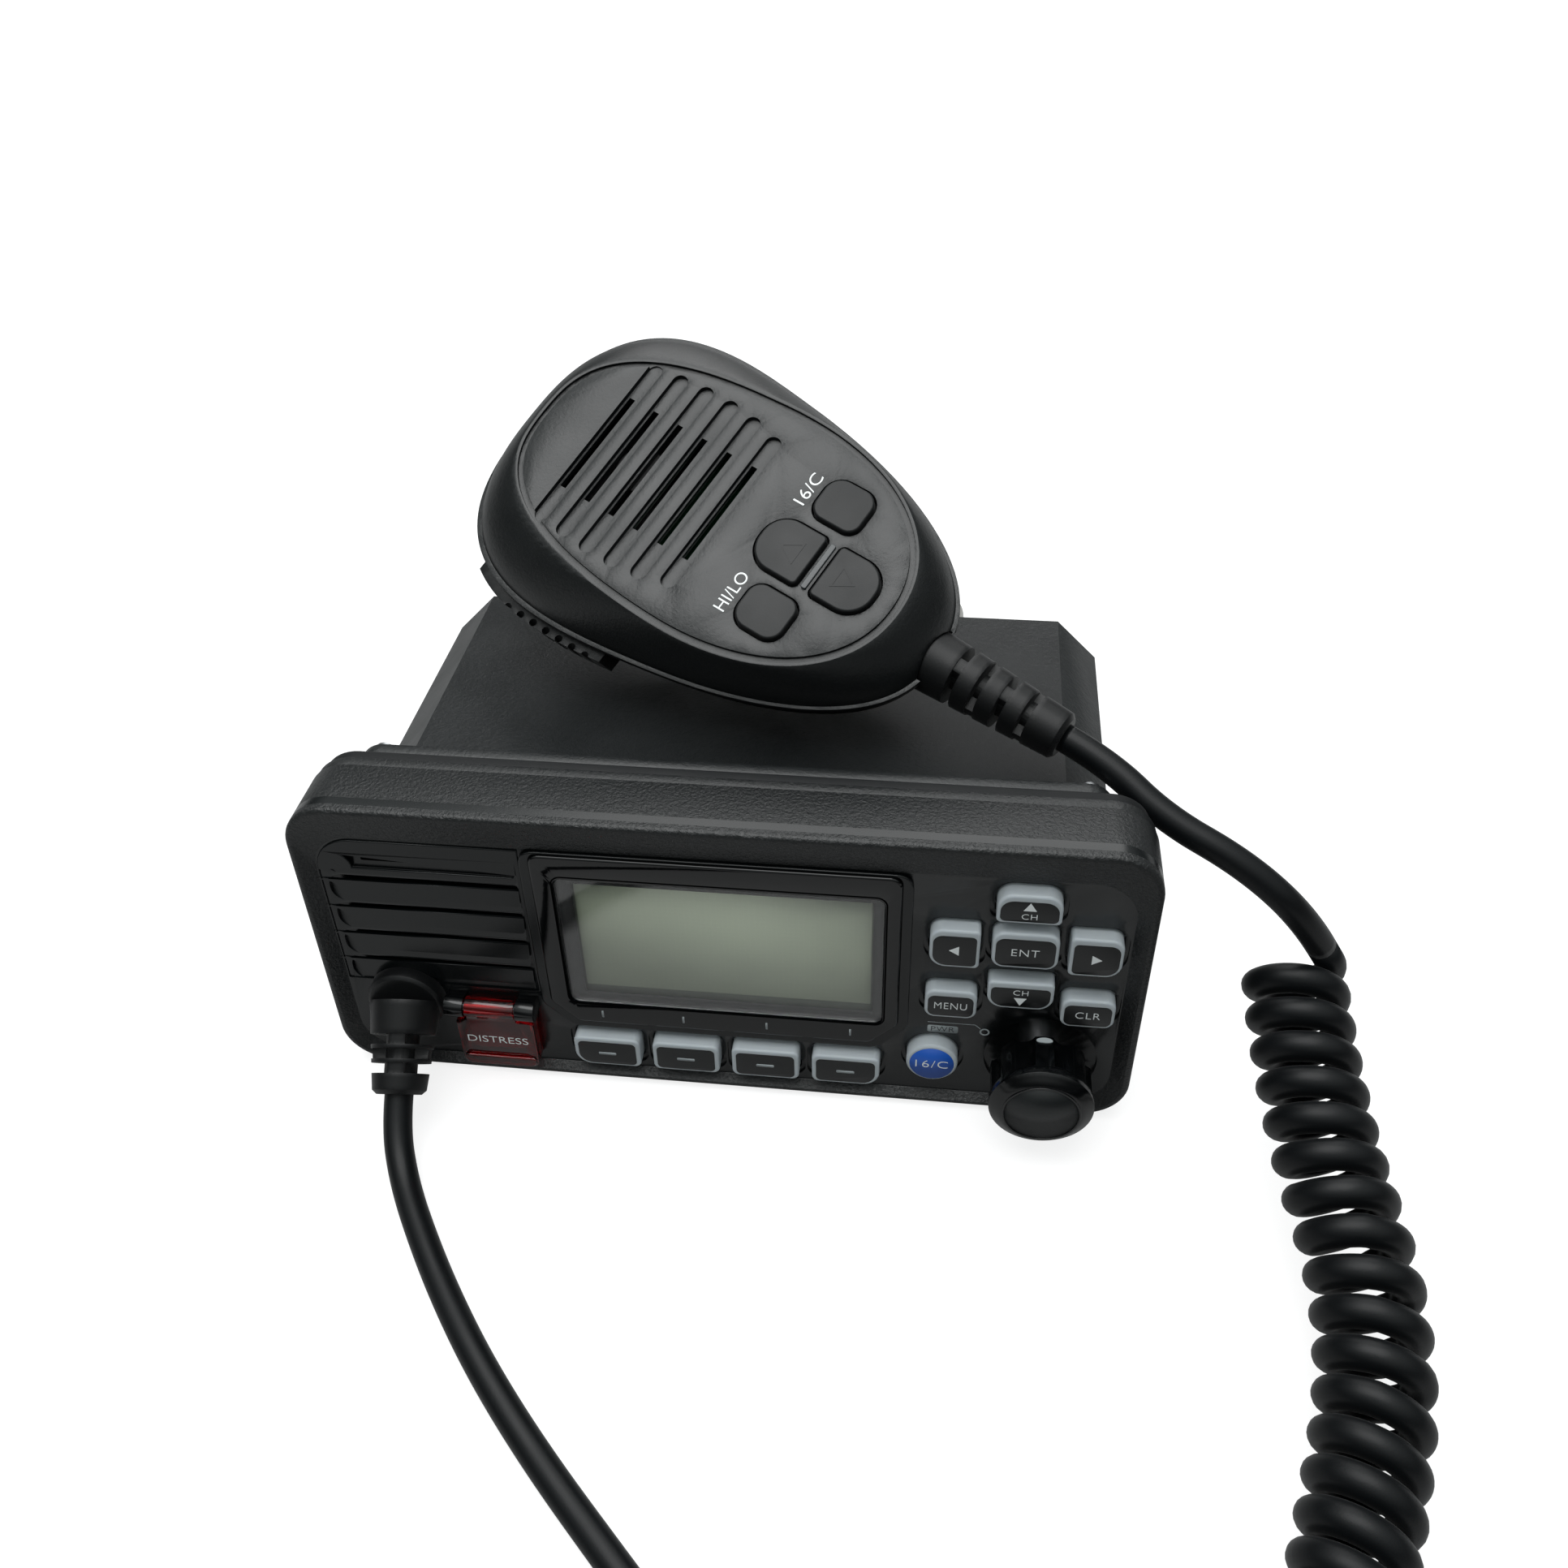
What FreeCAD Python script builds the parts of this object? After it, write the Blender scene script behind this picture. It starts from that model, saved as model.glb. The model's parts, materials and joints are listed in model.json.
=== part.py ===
import FreeCAD, Part
import math
import os
import re

# Marine radio with a fist microphone lying on it, in millimetres.
# The radio is drawn square in its own frame: X to the right, Y to the back, Z up, with the origin at the
# middle of the front case's bottom front edge. It then leans back as one, because the front case hangs
# below the chassis, until the case's rear bottom edge and the chassis' rear bottom edge both lie on Z = 0.

VECTOR = FreeCAD.Vector
X_AXIS = VECTOR(1, 0, 0)
Y_AXIS = VECTOR(0, 1, 0)
Z_AXIS = VECTOR(0, 0, 1)

doc = FreeCAD.newDocument("marine_radio")

# Driving dimensions
SIZES = [
    ("panel_width", 156.5, "front case, side to side"),
    ("panel_height", 66.5, "front case, bottom to top"),
    ("panel_corner", 9.0, "radius of the front case's corners"),
    ("case_depth", 13.3, "front case, front to back"),
    ("case_wall", 2.4, "side walls of the front case"),
    ("rim_side", 3.7, "sloping rim beside the recessed panel"),
    ("rim_top", 8.0, "sloping rim above the recessed panel"),
    ("rim_base", 2.0, "sloping rim below the recessed panel"),
    ("rim_recess", 2.0, "depth of the recessed panel behind the rim"),
    ("skin", 2.5, "thickness of the recessed panel"),
    ("frame_depth", 2.6, "rear frame of the front unit"),
    ("gasket_depth", 3.3, "rubber gasket between front unit and chassis"),
    ("gasket_inset", 1.0, "gasket edge inside the case outline"),
    ("flange_depth", 2.5, "chassis flange that clamps the gasket"),
    ("flange_width", 141.0, "chassis flange, side to side"),
    ("flange_inset", 1.4, "flange edge inside the case outline, top and bottom"),
    ("chassis_width", 142.0, "chassis, side to side"),
    ("chassis_height", 53.5, "chassis, bottom to top"),
    ("chassis_length", 64.8, "chassis with its flange, front to back"),
    ("chassis_wall", 2.2, "chassis wall"),
    ("chassis_drop", 6.5, "chassis bottom above the case bottom"),
    ("top_bevel", 8.75, "bevel of the chassis' upper long edges"),
    ("base_bevel", 4.0, "bevel of the chassis' lower long edges"),
    ("fin_depth", 9.0, "cooling fins at the back"),
    ("fin_thick", 1.6, "thickness of one fin"),
    ("fin_pitch", 5.6, "fin to fin"),
    ("fin_count", 10.0, "number of fins"),
    ("fit_gap", 0.3, "clearance round a key or lens"),
    ("display_width", 67.2, "glossy display frame, side to side"),
    ("display_height", 42.6, "glossy display frame, bottom to top"),
    ("display_low", 15.4, "bottom of the display frame"),
    ("display_cut", 5.2, "cut lower corners of the display frame"),
    ("display_proud", 1.3, "display frame in front of the panel"),
    ("lens_width", 60.6, "display lens, side to side"),
    ("lens_height", 32.2, "display lens, bottom to top"),
    ("lens_low", 20.6, "bottom of the lens"),
    ("grille_left", -73.0, "left end of the grille scoops"),
    ("grille_right", -36.6, "right end of the grille scoops"),
    ("grille_top", 56.4, "top of the first scoop"),
    ("grille_pitch", 7.0, "scoop to scoop"),
    ("grille_rows", 5.0, "number of scoops"),
    ("scoop_depth", 1.5, "deepest cut of a scoop, along its top edge"),
    ("slit_height", 1.5, "sound slit, bottom to top"),
    ("key_proud", 2.4, "key tops in front of the panel"),
    ("key_travel", 0.9, "how far a key pushes in"),
    ("key_brim", 0.8, "brim that keeps a key in the case"),
    ("well_wide", 1.1, "shallow well round each key"),
    ("well_deep", 0.7, "depth of that well"),
    ("soft_pitch", 15.75, "soft key to soft key"),
    ("soft_width", 13.2, "soft key, side to side"),
    ("soft_height", 7.6, "soft key, bottom to top"),
    ("soft_mid", 8.1, "middle of the soft keys above the case bottom"),
    ("pad_mid", 55.8, "middle of the keypad from the case middle"),
    ("pad_side", 12.5, "side keys from the keypad middle"),
    ("round_key", 4.9, "radius of the round key"),
    ("knob_x", 61.0, "knob axis from the case middle"),
    ("knob_z", 13.2, "knob axis above the case bottom"),
    ("knob_radius", 9.4, "knob grip radius"),
    ("knob_length", 10.5, "knob, back edge to front face"),
    ("knob_push", 0.6, "how far the knob pushes in"),
    ("shaft_radius", 3.0, "encoder shaft radius"),
    ("bore_gap", 0.08, "radial clearance of turning fits"),
    ("hinge_out", 2.5, "distress cover pin in front of the panel"),
    ("hinge_z", 18.7, "distress cover pin above the case bottom"),
    ("hinge_left", -54.4, "left end of the hinge knuckles"),
    ("hinge_right", -36.6, "right end of the hinge knuckles"),
    ("knuckle_radius", 2.2, "hinge knuckle radius"),
    ("pin_radius", 0.8, "hinge pin radius"),
    ("flap_low", 3.6, "lower edge of the distress cover"),
    ("flap_thick", 1.2, "distress cover thickness"),
    ("speaker_x", -55.0, "loudspeaker axis from the case middle"),
    ("speaker_z", 38.5, "loudspeaker axis above the case bottom"),
    ("speaker_radius", 16.5, "loudspeaker frame radius"),
    ("socket_x", 34.5, "antenna socket axis from the chassis middle"),
    ("socket_z", 43.5, "antenna socket axis above the case bottom"),
    ("socket_radius", 7.94, "antenna socket outside radius"),
    ("socket_length", 26.1, "antenna socket behind the chassis"),
    ("contact_radius", 2.0, "hole for the antenna plug's centre pin"),
    ("insert_y", 52.0, "bracket insert axis from the case front"),
    ("insert_z", 33.2, "bracket insert axis above the case bottom"),
    ("insert_bore", 2.5, "bracket insert bore radius"),
    ("insert_length", 8.0, "bracket insert length"),
    ("screw_radius", 1.4, "case screw radius"),
    ("screw_gap", 0.1, "radial clearance of a case screw"),
    ("board_thick", 1.6, "circuit boards"),
    ("mic_half", 31.8, "microphone half width at its seam"),
    ("mic_up", 49.7, "microphone seam above its widest line"),
    ("mic_down", 51.0, "microphone seam below its widest line"),
    ("mic_mid", 5.8, "widest line from the face's own zero"),
    ("mic_seam", 11.5, "seam below the microphone's face"),
    ("mic_deep", 29.5, "back of the microphone below its face"),
    ("mic_wall", 2.2, "microphone shell wall"),
    ("face_half", 26.1, "microphone face half width"),
    ("slot_pitch", 6.08, "microphone slot to slot"),
    ("slot_first", 33.75, "first slot from the face's zero"),
    ("slot_width", 3.3, "microphone slot width"),
    ("mic_push", 0.6, "how far a microphone key pushes in"),
    ("talk_push", 1.2, "how far the talk key pushes in"),
    ("stud_radius", 8.0, "hanger stud head radius"),
    ("mic_turn", 62.1, "microphone turned about the vertical, degrees"),
    ("mic_pitch", 13.3, "microphone grille end raised, degrees"),
    ("mic_roll", -30.4, "microphone leaning to its talk key, degrees"),
    ("mic_x", -2.4, "microphone face zero, across"),
    ("mic_y", 57.4, "microphone face zero, to the back"),
    ("mic_z", 96.0, "microphone face zero above the case bottom"),
    ("cord", 5.5, "cord diameter"),
    ("curl_outside", 19.0, "outside diameter of the curly length"),
    ("curl_gap", 0.6, "gap between two curls"),
]

sheet = doc.addObject("Spreadsheet::Sheet", "Sizes")
for row, (alias, value, note) in enumerate(SIZES, start=1):
    sheet.set(f"A{row}", note)
    sheet.set(f"B{row}", str(value))
    sheet.setAlias(f"B{row}", alias)
doc.recompute()
ALIASES = {alias for alias, _, _ in SIZES}


def number(text):
    """The value of an expression of driving dimensions."""
    return float(sheet.evalExpression(str(text)))


def bound(text):
    """The same expression as another object of the document writes it."""
    return re.sub(r"[a-z_]+", lambda m: "Sizes." + m.group() if m.group() in ALIASES else m.group(), str(text))


def bind(item, prop, text):
    item.setExpression(prop, bound(text))


# Planes along Y that pieces share
PANEL = "rim_recess"
BEHIND = "(rim_recess + skin)"
SEAM = "case_depth"
FRAME_BACK = "(case_depth + frame_depth)"
GASKET_BACK = "(case_depth + frame_depth + gasket_depth)"
FLANGE_BACK = "(case_depth + frame_depth + gasket_depth + flange_depth)"
CHASSIS_BACK = "(case_depth + frame_depth + gasket_depth + chassis_length)"
KEY_FRONT = "(rim_recess - key_proud)"
MAT_FRONT = "(rim_recess + skin + 3)"
MAT_BACK = "(rim_recess + skin + 3.9)"

LEAN = math.atan2(number("chassis_drop"), number(f"{CHASSIS_BACK} - case_depth"))
PIVOT = VECTOR(0, number("case_depth"), 0)


def lean():
    """The shared placement that rests the radio on its two bottom edges, pivot edge on the X axis."""
    turn = FreeCAD.Rotation(X_AXIS, -math.degrees(LEAN))
    return FreeCAD.Placement(turn.multVec(PIVOT) * -1, turn)


REST = lean()


def placed(x="0", y="0", z="0", turn=FreeCAD.Rotation()):
    return {"x": x, "y": y, "z": z, "turn": turn}


def put(item, spot):
    item.Placement = FreeCAD.Placement(VECTOR(0, 0, 0), spot["turn"])
    for axis in "xyz":
        bind(item, f"Placement.Base.{axis}", spot[axis])
    return item


def box(name, x, y, z):
    """A block between pairs of expressions."""
    item = doc.addObject("Part::Box", name)
    for prop, axis, (low, high) in (("Length", "x", x), ("Width", "y", y), ("Height", "z", z)):
        bind(item, prop, f"({high}) - ({low})")
        bind(item, f"Placement.Base.{axis}", low)
    return item


ALONG_Y = FreeCAD.Rotation(X_AXIS, -90)
TOWARD_FRONT = FreeCAD.Rotation(X_AXIS, 90)
ALONG_X = FreeCAD.Rotation(Y_AXIS, 90)
UPRIGHT = FreeCAD.Rotation()


def rod(name, radius, length, spot):
    """A cylinder that starts at the spot and runs along its turned Z."""
    item = doc.addObject("Part::Cylinder", name)
    bind(item, "Radius", radius)
    bind(item, "Height", length)
    return put(item, spot)


def fuse(name, *items):
    item = doc.addObject("Part::MultiFuse", name)
    item.Shapes = list(items)
    return item


def cut(name, base, *tools):
    item = doc.addObject("Part::Cut", name)
    item.Base = base
    item.Tool = tools[0] if len(tools) == 1 else fuse(name + "_tools", *tools)
    return item


def common(name, one, other):
    item = doc.addObject("Part::Common", name)
    item.Base = one
    item.Tool = other
    return item


def plane_of(body, role):
    return next(f for f in body.Origin.OriginFeatures if f.Role == role)


def attach(body, name, role, offset):
    sketch = body.newObject("Sketcher::SketchObject", name)
    sketch.AttachmentSupport = (plane_of(body, role), [""])
    sketch.MapMode = "FlatFace"
    bind(sketch, "AttachmentOffset.Base.z", offset)
    return sketch


def hold(sketch, geo, point, axis, text):
    """Ties a sketch point to an expression, or to the axis where the expression is zero."""
    import Sketcher
    if abs(number(text)) < 1e-9:
        sketch.addConstraint(Sketcher.Constraint("PointOnObject", geo, point, -2 if axis == "X" else -1))
        return
    place = sketch.addConstraint(Sketcher.Constraint("Distance" + axis, -1, 1, geo, point, number(text)))
    bind(sketch, f"Constraints[{place}]", text)


def rounded_sketch(body, name, x, z, radii, offset, role="XZ_Plane"):
    """A rectangle between expressions, with its corner radii: right bottom, right top, left top, left bottom."""
    import Sketcher
    sketch = attach(body, name, role, offset)
    left, right, low, high = number(x[0]), number(x[1]), number(z[0]), number(z[1])
    r = [number(value) for value in radii]
    corner = [(right - r[0], low + r[0]), (right - r[1], high - r[1]), (left + r[2], high - r[2]),
              (left + r[3], low + r[3])]
    ends = [((left + r[3], low), (right - r[0], low)), ((right, low + r[0]), (right, high - r[1])),
            ((right - r[1], high), (left + r[2], high)), ((left, high - r[2]), (left, low + r[3]))]
    lines = [sketch.addGeometry(Part.LineSegment(VECTOR(*a, 0), VECTOR(*b, 0)), False) for a, b in ends]
    arcs = []
    for index, (centre, radius) in enumerate(zip(corner, r)):
        start = math.pi * (index / 2 - 0.5)
        circle = Part.Circle(VECTOR(*centre, 0), Z_AXIS, radius)
        arcs.append(sketch.addGeometry(Part.ArcOfCircle(circle, start, start + math.pi / 2), False))
    for index in range(4):
        sketch.addConstraint(Sketcher.Constraint("Tangent", lines[index], 2, arcs[index], 1))
        sketch.addConstraint(Sketcher.Constraint("Tangent", arcs[index], 2, lines[(index + 1) % 4], 1))
        level = "Vertical" if index % 2 else "Horizontal"
        sketch.addConstraint(Sketcher.Constraint(level, lines[index]))
        place = sketch.addConstraint(Sketcher.Constraint("Radius", arcs[index], r[index]))
        bind(sketch, f"Constraints[{place}]", radii[index])
    hold(sketch, lines[3], 1, "X", x[0])
    hold(sketch, lines[1], 1, "X", x[1])
    hold(sketch, lines[0], 1, "Y", z[0])
    hold(sketch, lines[2], 1, "Y", z[1])
    return sketch


def outline_sketch(body, name, points, offset, role="XZ_Plane"):
    """A closed outline through points that are pairs of expressions."""
    import Sketcher
    sketch = attach(body, name, role, offset)
    spots = [VECTOR(number(a), number(b), 0) for a, b in points]
    count = len(spots)
    for index in range(count):
        sketch.addGeometry(Part.LineSegment(spots[index], spots[(index + 1) % count]), False)
    for index in range(count):
        sketch.addConstraint(Sketcher.Constraint("Coincident", index, 2, (index + 1) % count, 1))
    for index, (a, b) in enumerate(points):
        hold(sketch, index, 1, "X", a)
        hold(sketch, index, 1, "Y", b)
    return sketch


def padded(body, name, sketch, length, back=True):
    pad = body.newObject("PartDesign::Pad", name)
    pad.Profile = sketch
    bind(pad, "Length", length)
    pad.Reversed = back
    body.Tip = pad
    return pad


def slab(name, x, z, y, radii):
    """A rounded plate between two planes along Y."""
    body = doc.addObject("PartDesign::Body", name)
    if not isinstance(radii, (list, tuple)):
        radii = [radii] * 4
    sketch = rounded_sketch(body, name + "_outline", x, z, radii, f"-({y[0]})")
    padded(body, name + "_pad", sketch, f"({y[1]}) - ({y[0]})")
    return body


def prism(name, points, y):
    """A plate with a straight-edged outline between two planes along Y."""
    body = doc.addObject("PartDesign::Body", name)
    sketch = outline_sketch(body, name + "_outline", points, f"-({y[0]})")
    padded(body, name + "_pad", sketch, f"({y[1]}) - ({y[0]})")
    return body


def turned(name, points, spot):
    """A body of revolution about its own Z, its outline given as radius and height."""
    body = doc.addObject("PartDesign::Body", name)
    sketch = outline_sketch(body, name + "_outline", points, "0")
    spin = body.newObject("PartDesign::Revolution", name + "_turn")
    spin.Profile = sketch
    spin.ReferenceAxis = (sketch, ["V_Axis"])
    spin.Angle = 360
    body.Tip = spin
    return put(body, spot)


def soften(body, radius, pick):
    """Rounds the picked edges of a body's last feature."""
    doc.recompute()
    base = body.Tip
    names = [f"Edge{i}" for i, edge in enumerate(base.Shape.Edges, start=1) if pick(edge)]
    fillet = body.newObject("PartDesign::Fillet", body.Name + "_soft")
    fillet.Base = (base, names)
    bind(fillet, "Radius", radius)
    body.Tip = fillet
    return body


def lies_at_y(value):
    level = number(value)
    return lambda edge: abs(edge.BoundBox.YMin - level) < 1e-4 and abs(edge.BoundBox.YMax - level) < 1e-4


NODES = {}


def node(name, *items, placement=REST):
    """One named sub-part of the object, in its place."""
    item = doc.addObject("Part::Compound", name)
    item.Label = name
    item.Links = list(items)
    item.Placement = placement
    NODES[name] = item
    return item


# Key places: name, middle across, bottom, top, width, corner radii (right bottom, right top, left top, left bottom)
def soft_middle(index):
    return f"(soft_pitch * {index - 1.5} + 0.3)"


SOFT_CORNERS = [("1.4", "1.4", "1.4", "3.4"), ("1.4", "1.4", "1.4", "1.4"), ("1.4", "1.4", "1.4", "1.4"),
                ("3.4", "1.4", "1.4", "1.4")]
KEYS = {}
for index, corners in enumerate(SOFT_CORNERS):
    KEYS[f"soft_key_{index + 1}"] = (soft_middle(index), "soft_mid - soft_height / 2", "soft_mid + soft_height / 2",
                                     "soft_width", corners)
KEYS["key_up"] = ("pad_mid", "50.4", "57", "11.4", ("0.9", "3", "3", "0.9"))
KEYS["key_enter"] = ("pad_mid", "39.4", "47.9", "11.8", ("2.2", "2.2", "2.2", "2.2"))
KEYS["key_down"] = ("pad_mid", "28.9", "35.6", "12", ("3", "0.9", "0.9", "3"))
KEYS["key_left"] = ("(pad_mid - pad_side)", "38.5", "47.6", "9", ("0.9", "0.9", "2.4", "3"))
KEYS["key_right"] = ("(pad_mid + pad_side)", "38.5", "47.6", "9.4", ("3", "2.4", "0.9", "0.9"))
KEYS["key_menu"] = ("(pad_mid - pad_side)", "25.2", "32.2", "9.6", ("1.9", "1.9", "1.9", "1.9"))
KEYS["key_clear"] = ("(pad_mid + pad_side)", "25.2", "32.2", "9.8", ("1.9", "1.9", "1.9", "1.9"))
ROUND_X = "40.5"
ROUND_Z = "12.2"


def grown(key, grow):
    """The spans and corner radii of a key's outline, grown all round."""
    middle, low, high, width, radii = KEYS[key]
    x = (f"{middle} - ({width}) / 2 - ({grow})", f"{middle} + ({width}) / 2 + ({grow})")
    z = (f"({low}) - ({grow})", f"({high}) + ({grow})")
    return x, z, [f"({radius}) + ({grow})" for radius in radii]


# Distress key under its cover
DISTRESS_X = ("hinge_left + 3.4", "hinge_right - 2.4")
DISTRESS_Z = ("flap_low + 2.2", "flap_low + 11.2")

# Front case: blank with softened front edge, sloping rim, hollow back
HALF = "panel_width / 2"


def case_spans(inset):
    return (f"-({HALF}) + ({inset})", f"({HALF}) - ({inset})"), (f"({inset})", f"panel_height - ({inset})")


blank = slab("case_blank", *case_spans("0"), ("0", SEAM), "panel_corner")
soften(blank, "0.9", lies_at_y("0"))

rim = doc.addObject("PartDesign::Body", "rim_slope")
rim_front = rounded_sketch(rim, "rim_front", *case_spans("1.3"), ["panel_corner - 1.3"] * 4, "0.001")
INNER_X = (f"-({HALF}) + rim_side", f"({HALF}) - rim_side")
INNER_Z = ("rim_base", "panel_height - rim_top")
rim_back = rounded_sketch(rim, "rim_back", INNER_X, INNER_Z, ["panel_corner - 1"] * 4, f"-{PANEL}")
rim_loft = rim.newObject("PartDesign::AdditiveLoft", "rim_loft")
rim_loft.Profile = rim_front
rim_loft.Sections = [rim_back]
rim_loft.Ruled = True
rim.Tip = rim_loft

inside_x, inside_z = case_spans("case_wall")
hollow = slab("case_hollow", inside_x, inside_z, (BEHIND, f"{SEAM} + 1"), "panel_corner - case_wall")


def scoop(index):
    """One grille scoop: deep along its upper edge, running out to the panel at its lower edge."""
    top = f"(grille_top - grille_pitch * {index})"
    wedge = doc.addObject("PartDesign::Body", f"scoop_wedge_{index}")
    points = [(PANEL, top), (f"{PANEL} - 1", top), (f"{PANEL} - 1", f"{top} - grille_pitch + 0.5"),
              (PANEL, f"{top} - grille_pitch + 0.5"), (f"{PANEL} + scoop_depth", f"{top} - 1.9"),
              (f"{PANEL} + scoop_depth", f"{top} - 0.3")]
    sketch = outline_sketch(wedge, f"scoop_section_{index}", points, "grille_left", role="YZ_Plane")
    padded(wedge, f"scoop_run_{index}", sketch, "grille_right - grille_left", back=False)
    ends = slab(f"scoop_ends_{index}", ("grille_left", "grille_right"), (f"{top} - grille_pitch + 0.4", top),
                (f"{PANEL} - 1", f"{PANEL} + scoop_depth"), ["0.8", "0.8", "2.9", "2.9"])
    return common(f"scoop_{index}", wedge, ends)


SLITS = [("grille_left + 2.6", "grille_left + 19.4"), ("grille_left + 22", "grille_right - 3.2")]


def slit(row, index):
    start, end = SLITS[index]
    top = f"(grille_top - grille_pitch * {row} - 0.3)"
    return box(f"slit_{row}_{index}", (start, end), (PANEL, f"{BEHIND} + 0.5"), (f"{top} - slit_height", top))


ROWS = int(number("grille_rows"))
scoops = [scoop(index) for index in range(ROWS)]
slits = [slit(row, index) for row in range(ROWS - 1) for index in range(2)]

wells = [slab(f"well_{key}", *grown(key, "well_wide")[:2], (f"{PANEL} - 1", f"{PANEL} + well_deep"),
              grown(key, "well_wide")[2]) for key in KEYS]
holes = [slab(f"hole_{key}", *grown(key, "fit_gap")[:2], (f"{PANEL} - 1", f"{BEHIND} + 0.5"),
              grown(key, "fit_gap")[2]) for key in KEYS]
round_well = rod("round_well", "round_key + well_wide", "1 + well_deep", placed(ROUND_X, f"{PANEL} - 1", ROUND_Z, ALONG_Y))
round_hole = rod("round_hole", "round_key + fit_gap", "skin + 2", placed(ROUND_X, f"{PANEL} - 1", ROUND_Z, ALONG_Y))
knob_well = rod("knob_well", "knob_radius + 1.3", "1 + 1.2", placed("knob_x", f"{PANEL} - 1", "knob_z", ALONG_Y))
knob_hole = rod("knob_hole", "shaft_radius + 0.6", "skin + 2", placed("knob_x", f"{PANEL} - 1", "knob_z", ALONG_Y))
distress_hole = slab("distress_hole", (f"{DISTRESS_X[0]} - fit_gap", f"{DISTRESS_X[1]} + fit_gap"),
                     (f"{DISTRESS_Z[0]} - fit_gap", f"{DISTRESS_Z[1]} + fit_gap"),
                     (f"{PANEL} - 1", f"{BEHIND} + 0.5"), "1.6 + fit_gap")
WINDOW_X = ("-lens_width / 2 + 1.8", "lens_width / 2 - 0.8")
WINDOW_Z = ("lens_low + 1.6", "lens_low + lens_height - 1.6")
display_hole = slab("display_hole", WINDOW_X, WINDOW_Z, (f"{PANEL} - 1", f"{BEHIND} + 0.5"), "1.5")

SCREWS = [("-66", "flange_inset + 2.6"), ("50", "flange_inset + 2.6"),
          ("-66", "panel_height - flange_inset - 2.7"), ("66", "panel_height - flange_inset - 2.7")]
SCREW_BODY = "screw_radius + screw_gap"


def case_post(index, x, z):
    post = rod(f"post_{index}", "2.9", f"{SEAM} - {BEHIND} + 0.2", placed(x, f"{BEHIND} - 0.2", z, ALONG_Y))
    bore = rod(f"post_bore_{index}", SCREW_BODY, "9", placed(x, f"{SEAM} - 7", z, ALONG_Y))
    return post, bore


posts = [case_post(index, x, z) for index, (x, z) in enumerate(SCREWS)]
front_shell = cut("front_shell", blank, rim, hollow)
front_open = cut("front_open", front_shell, *scoops, *slits, *wells, *holes, round_well, round_hole, knob_well,
                 knob_hole, distress_hole, display_hole)
front_posts = fuse("front_posts", front_open, *[post for post, _ in posts])
node("front_case", cut("front_bored", front_posts, *[bore for _, bore in posts]))

# Rear frame, gasket and their openings
frame_plate = slab("frame_plate", *case_spans("0.3"), (SEAM, FRAME_BACK), "panel_corner - 0.3")
frame_window = slab("frame_window", ("-60", "60"), ("19", "55"), (f"{SEAM} - 1", f"{FRAME_BACK} + 1"), "4")
speaker_way = rod("speaker_way", "12.5", "frame_depth + 2", placed("speaker_x", f"{SEAM} - 1", "speaker_z", ALONG_Y))
frame_bores = [rod(f"frame_bore_{i}", SCREW_BODY, "frame_depth + 2", placed(x, f"{SEAM} - 1", z, ALONG_Y))
               for i, (x, z) in enumerate(SCREWS)]
node("rear_frame", cut("frame_open", frame_plate, frame_window, speaker_way, *frame_bores))

gasket_blank = slab("gasket_blank", *case_spans("gasket_inset"), (FRAME_BACK, GASKET_BACK),
                    "panel_corner - gasket_inset")
soften(gasket_blank, "0.8", lies_at_y(GASKET_BACK))
GASKET_IN = "chassis_width / 2 - chassis_wall - 2"
gasket_window = slab("gasket_window", (f"-({GASKET_IN})", GASKET_IN), ("14", "52.5"),
                     (f"{FRAME_BACK} - 1", f"{GASKET_BACK} + 1"), "6")
gasket_bores = [rod(f"gasket_bore_{i}", SCREW_BODY, "gasket_depth + 2", placed(x, f"{FRAME_BACK} - 1", z, ALONG_Y))
                for i, (x, z) in enumerate(SCREWS)]
node("gasket", cut("gasket_open", gasket_blank, gasket_window, *gasket_bores))


# Chassis: bevelled tub with a front flange, board posts, insert bosses and cooling fins
def tub_outline(wall):
    """The chassis section, moved in by the wall all round."""
    half = f"(chassis_width / 2 - ({wall}))"
    low = f"(chassis_drop + ({wall}))"
    high = f"(chassis_drop + chassis_height - ({wall}))"
    upper = f"(top_bevel - ({wall}) * 0.586)"
    lower = f"(base_bevel - ({wall}) * 0.586)"
    return [(f"-{half} + {lower}", low), (f"{half} - {lower}", low), (half, f"{low} + {lower}"),
            (half, f"{high} - {upper}"), (f"{half} - {upper}", high), (f"-{half} + {upper}", high),
            (f"-{half}", f"{high} - {upper}"), (f"-{half}", f"{low} + {lower}")]


tub = prism("tub", tub_outline("0"), (GASKET_BACK, CHASSIS_BACK))
flange = slab("flange", ("-flange_width / 2", "flange_width / 2"), ("flange_inset", "panel_height - flange_inset"),
              (GASKET_BACK, FLANGE_BACK), "5")
cavity = prism("tub_cavity", tub_outline("chassis_wall"), (f"{GASKET_BACK} - 1", f"{CHASSIS_BACK} - chassis_wall"))
BOARD_Z = "(chassis_drop + chassis_wall + 9)"
POSTS = [("-58", "31"), ("58", "31"), ("-58", "76"), ("58", "76")]
board_posts = [rod(f"board_post_{i}", "3", "9.2", placed(x, y, "chassis_drop + chassis_wall - 0.2", UPRIGHT))
               for i, (x, y) in enumerate(POSTS)]
board_bores = [rod(f"board_bore_{i}", SCREW_BODY, "6", placed(x, y, f"{BOARD_Z} - 6", UPRIGHT))
               for i, (x, y) in enumerate(POSTS)]
INSERT_RADIUS = "insert_bore + 2"
SIDE = "chassis_width / 2"
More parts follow.
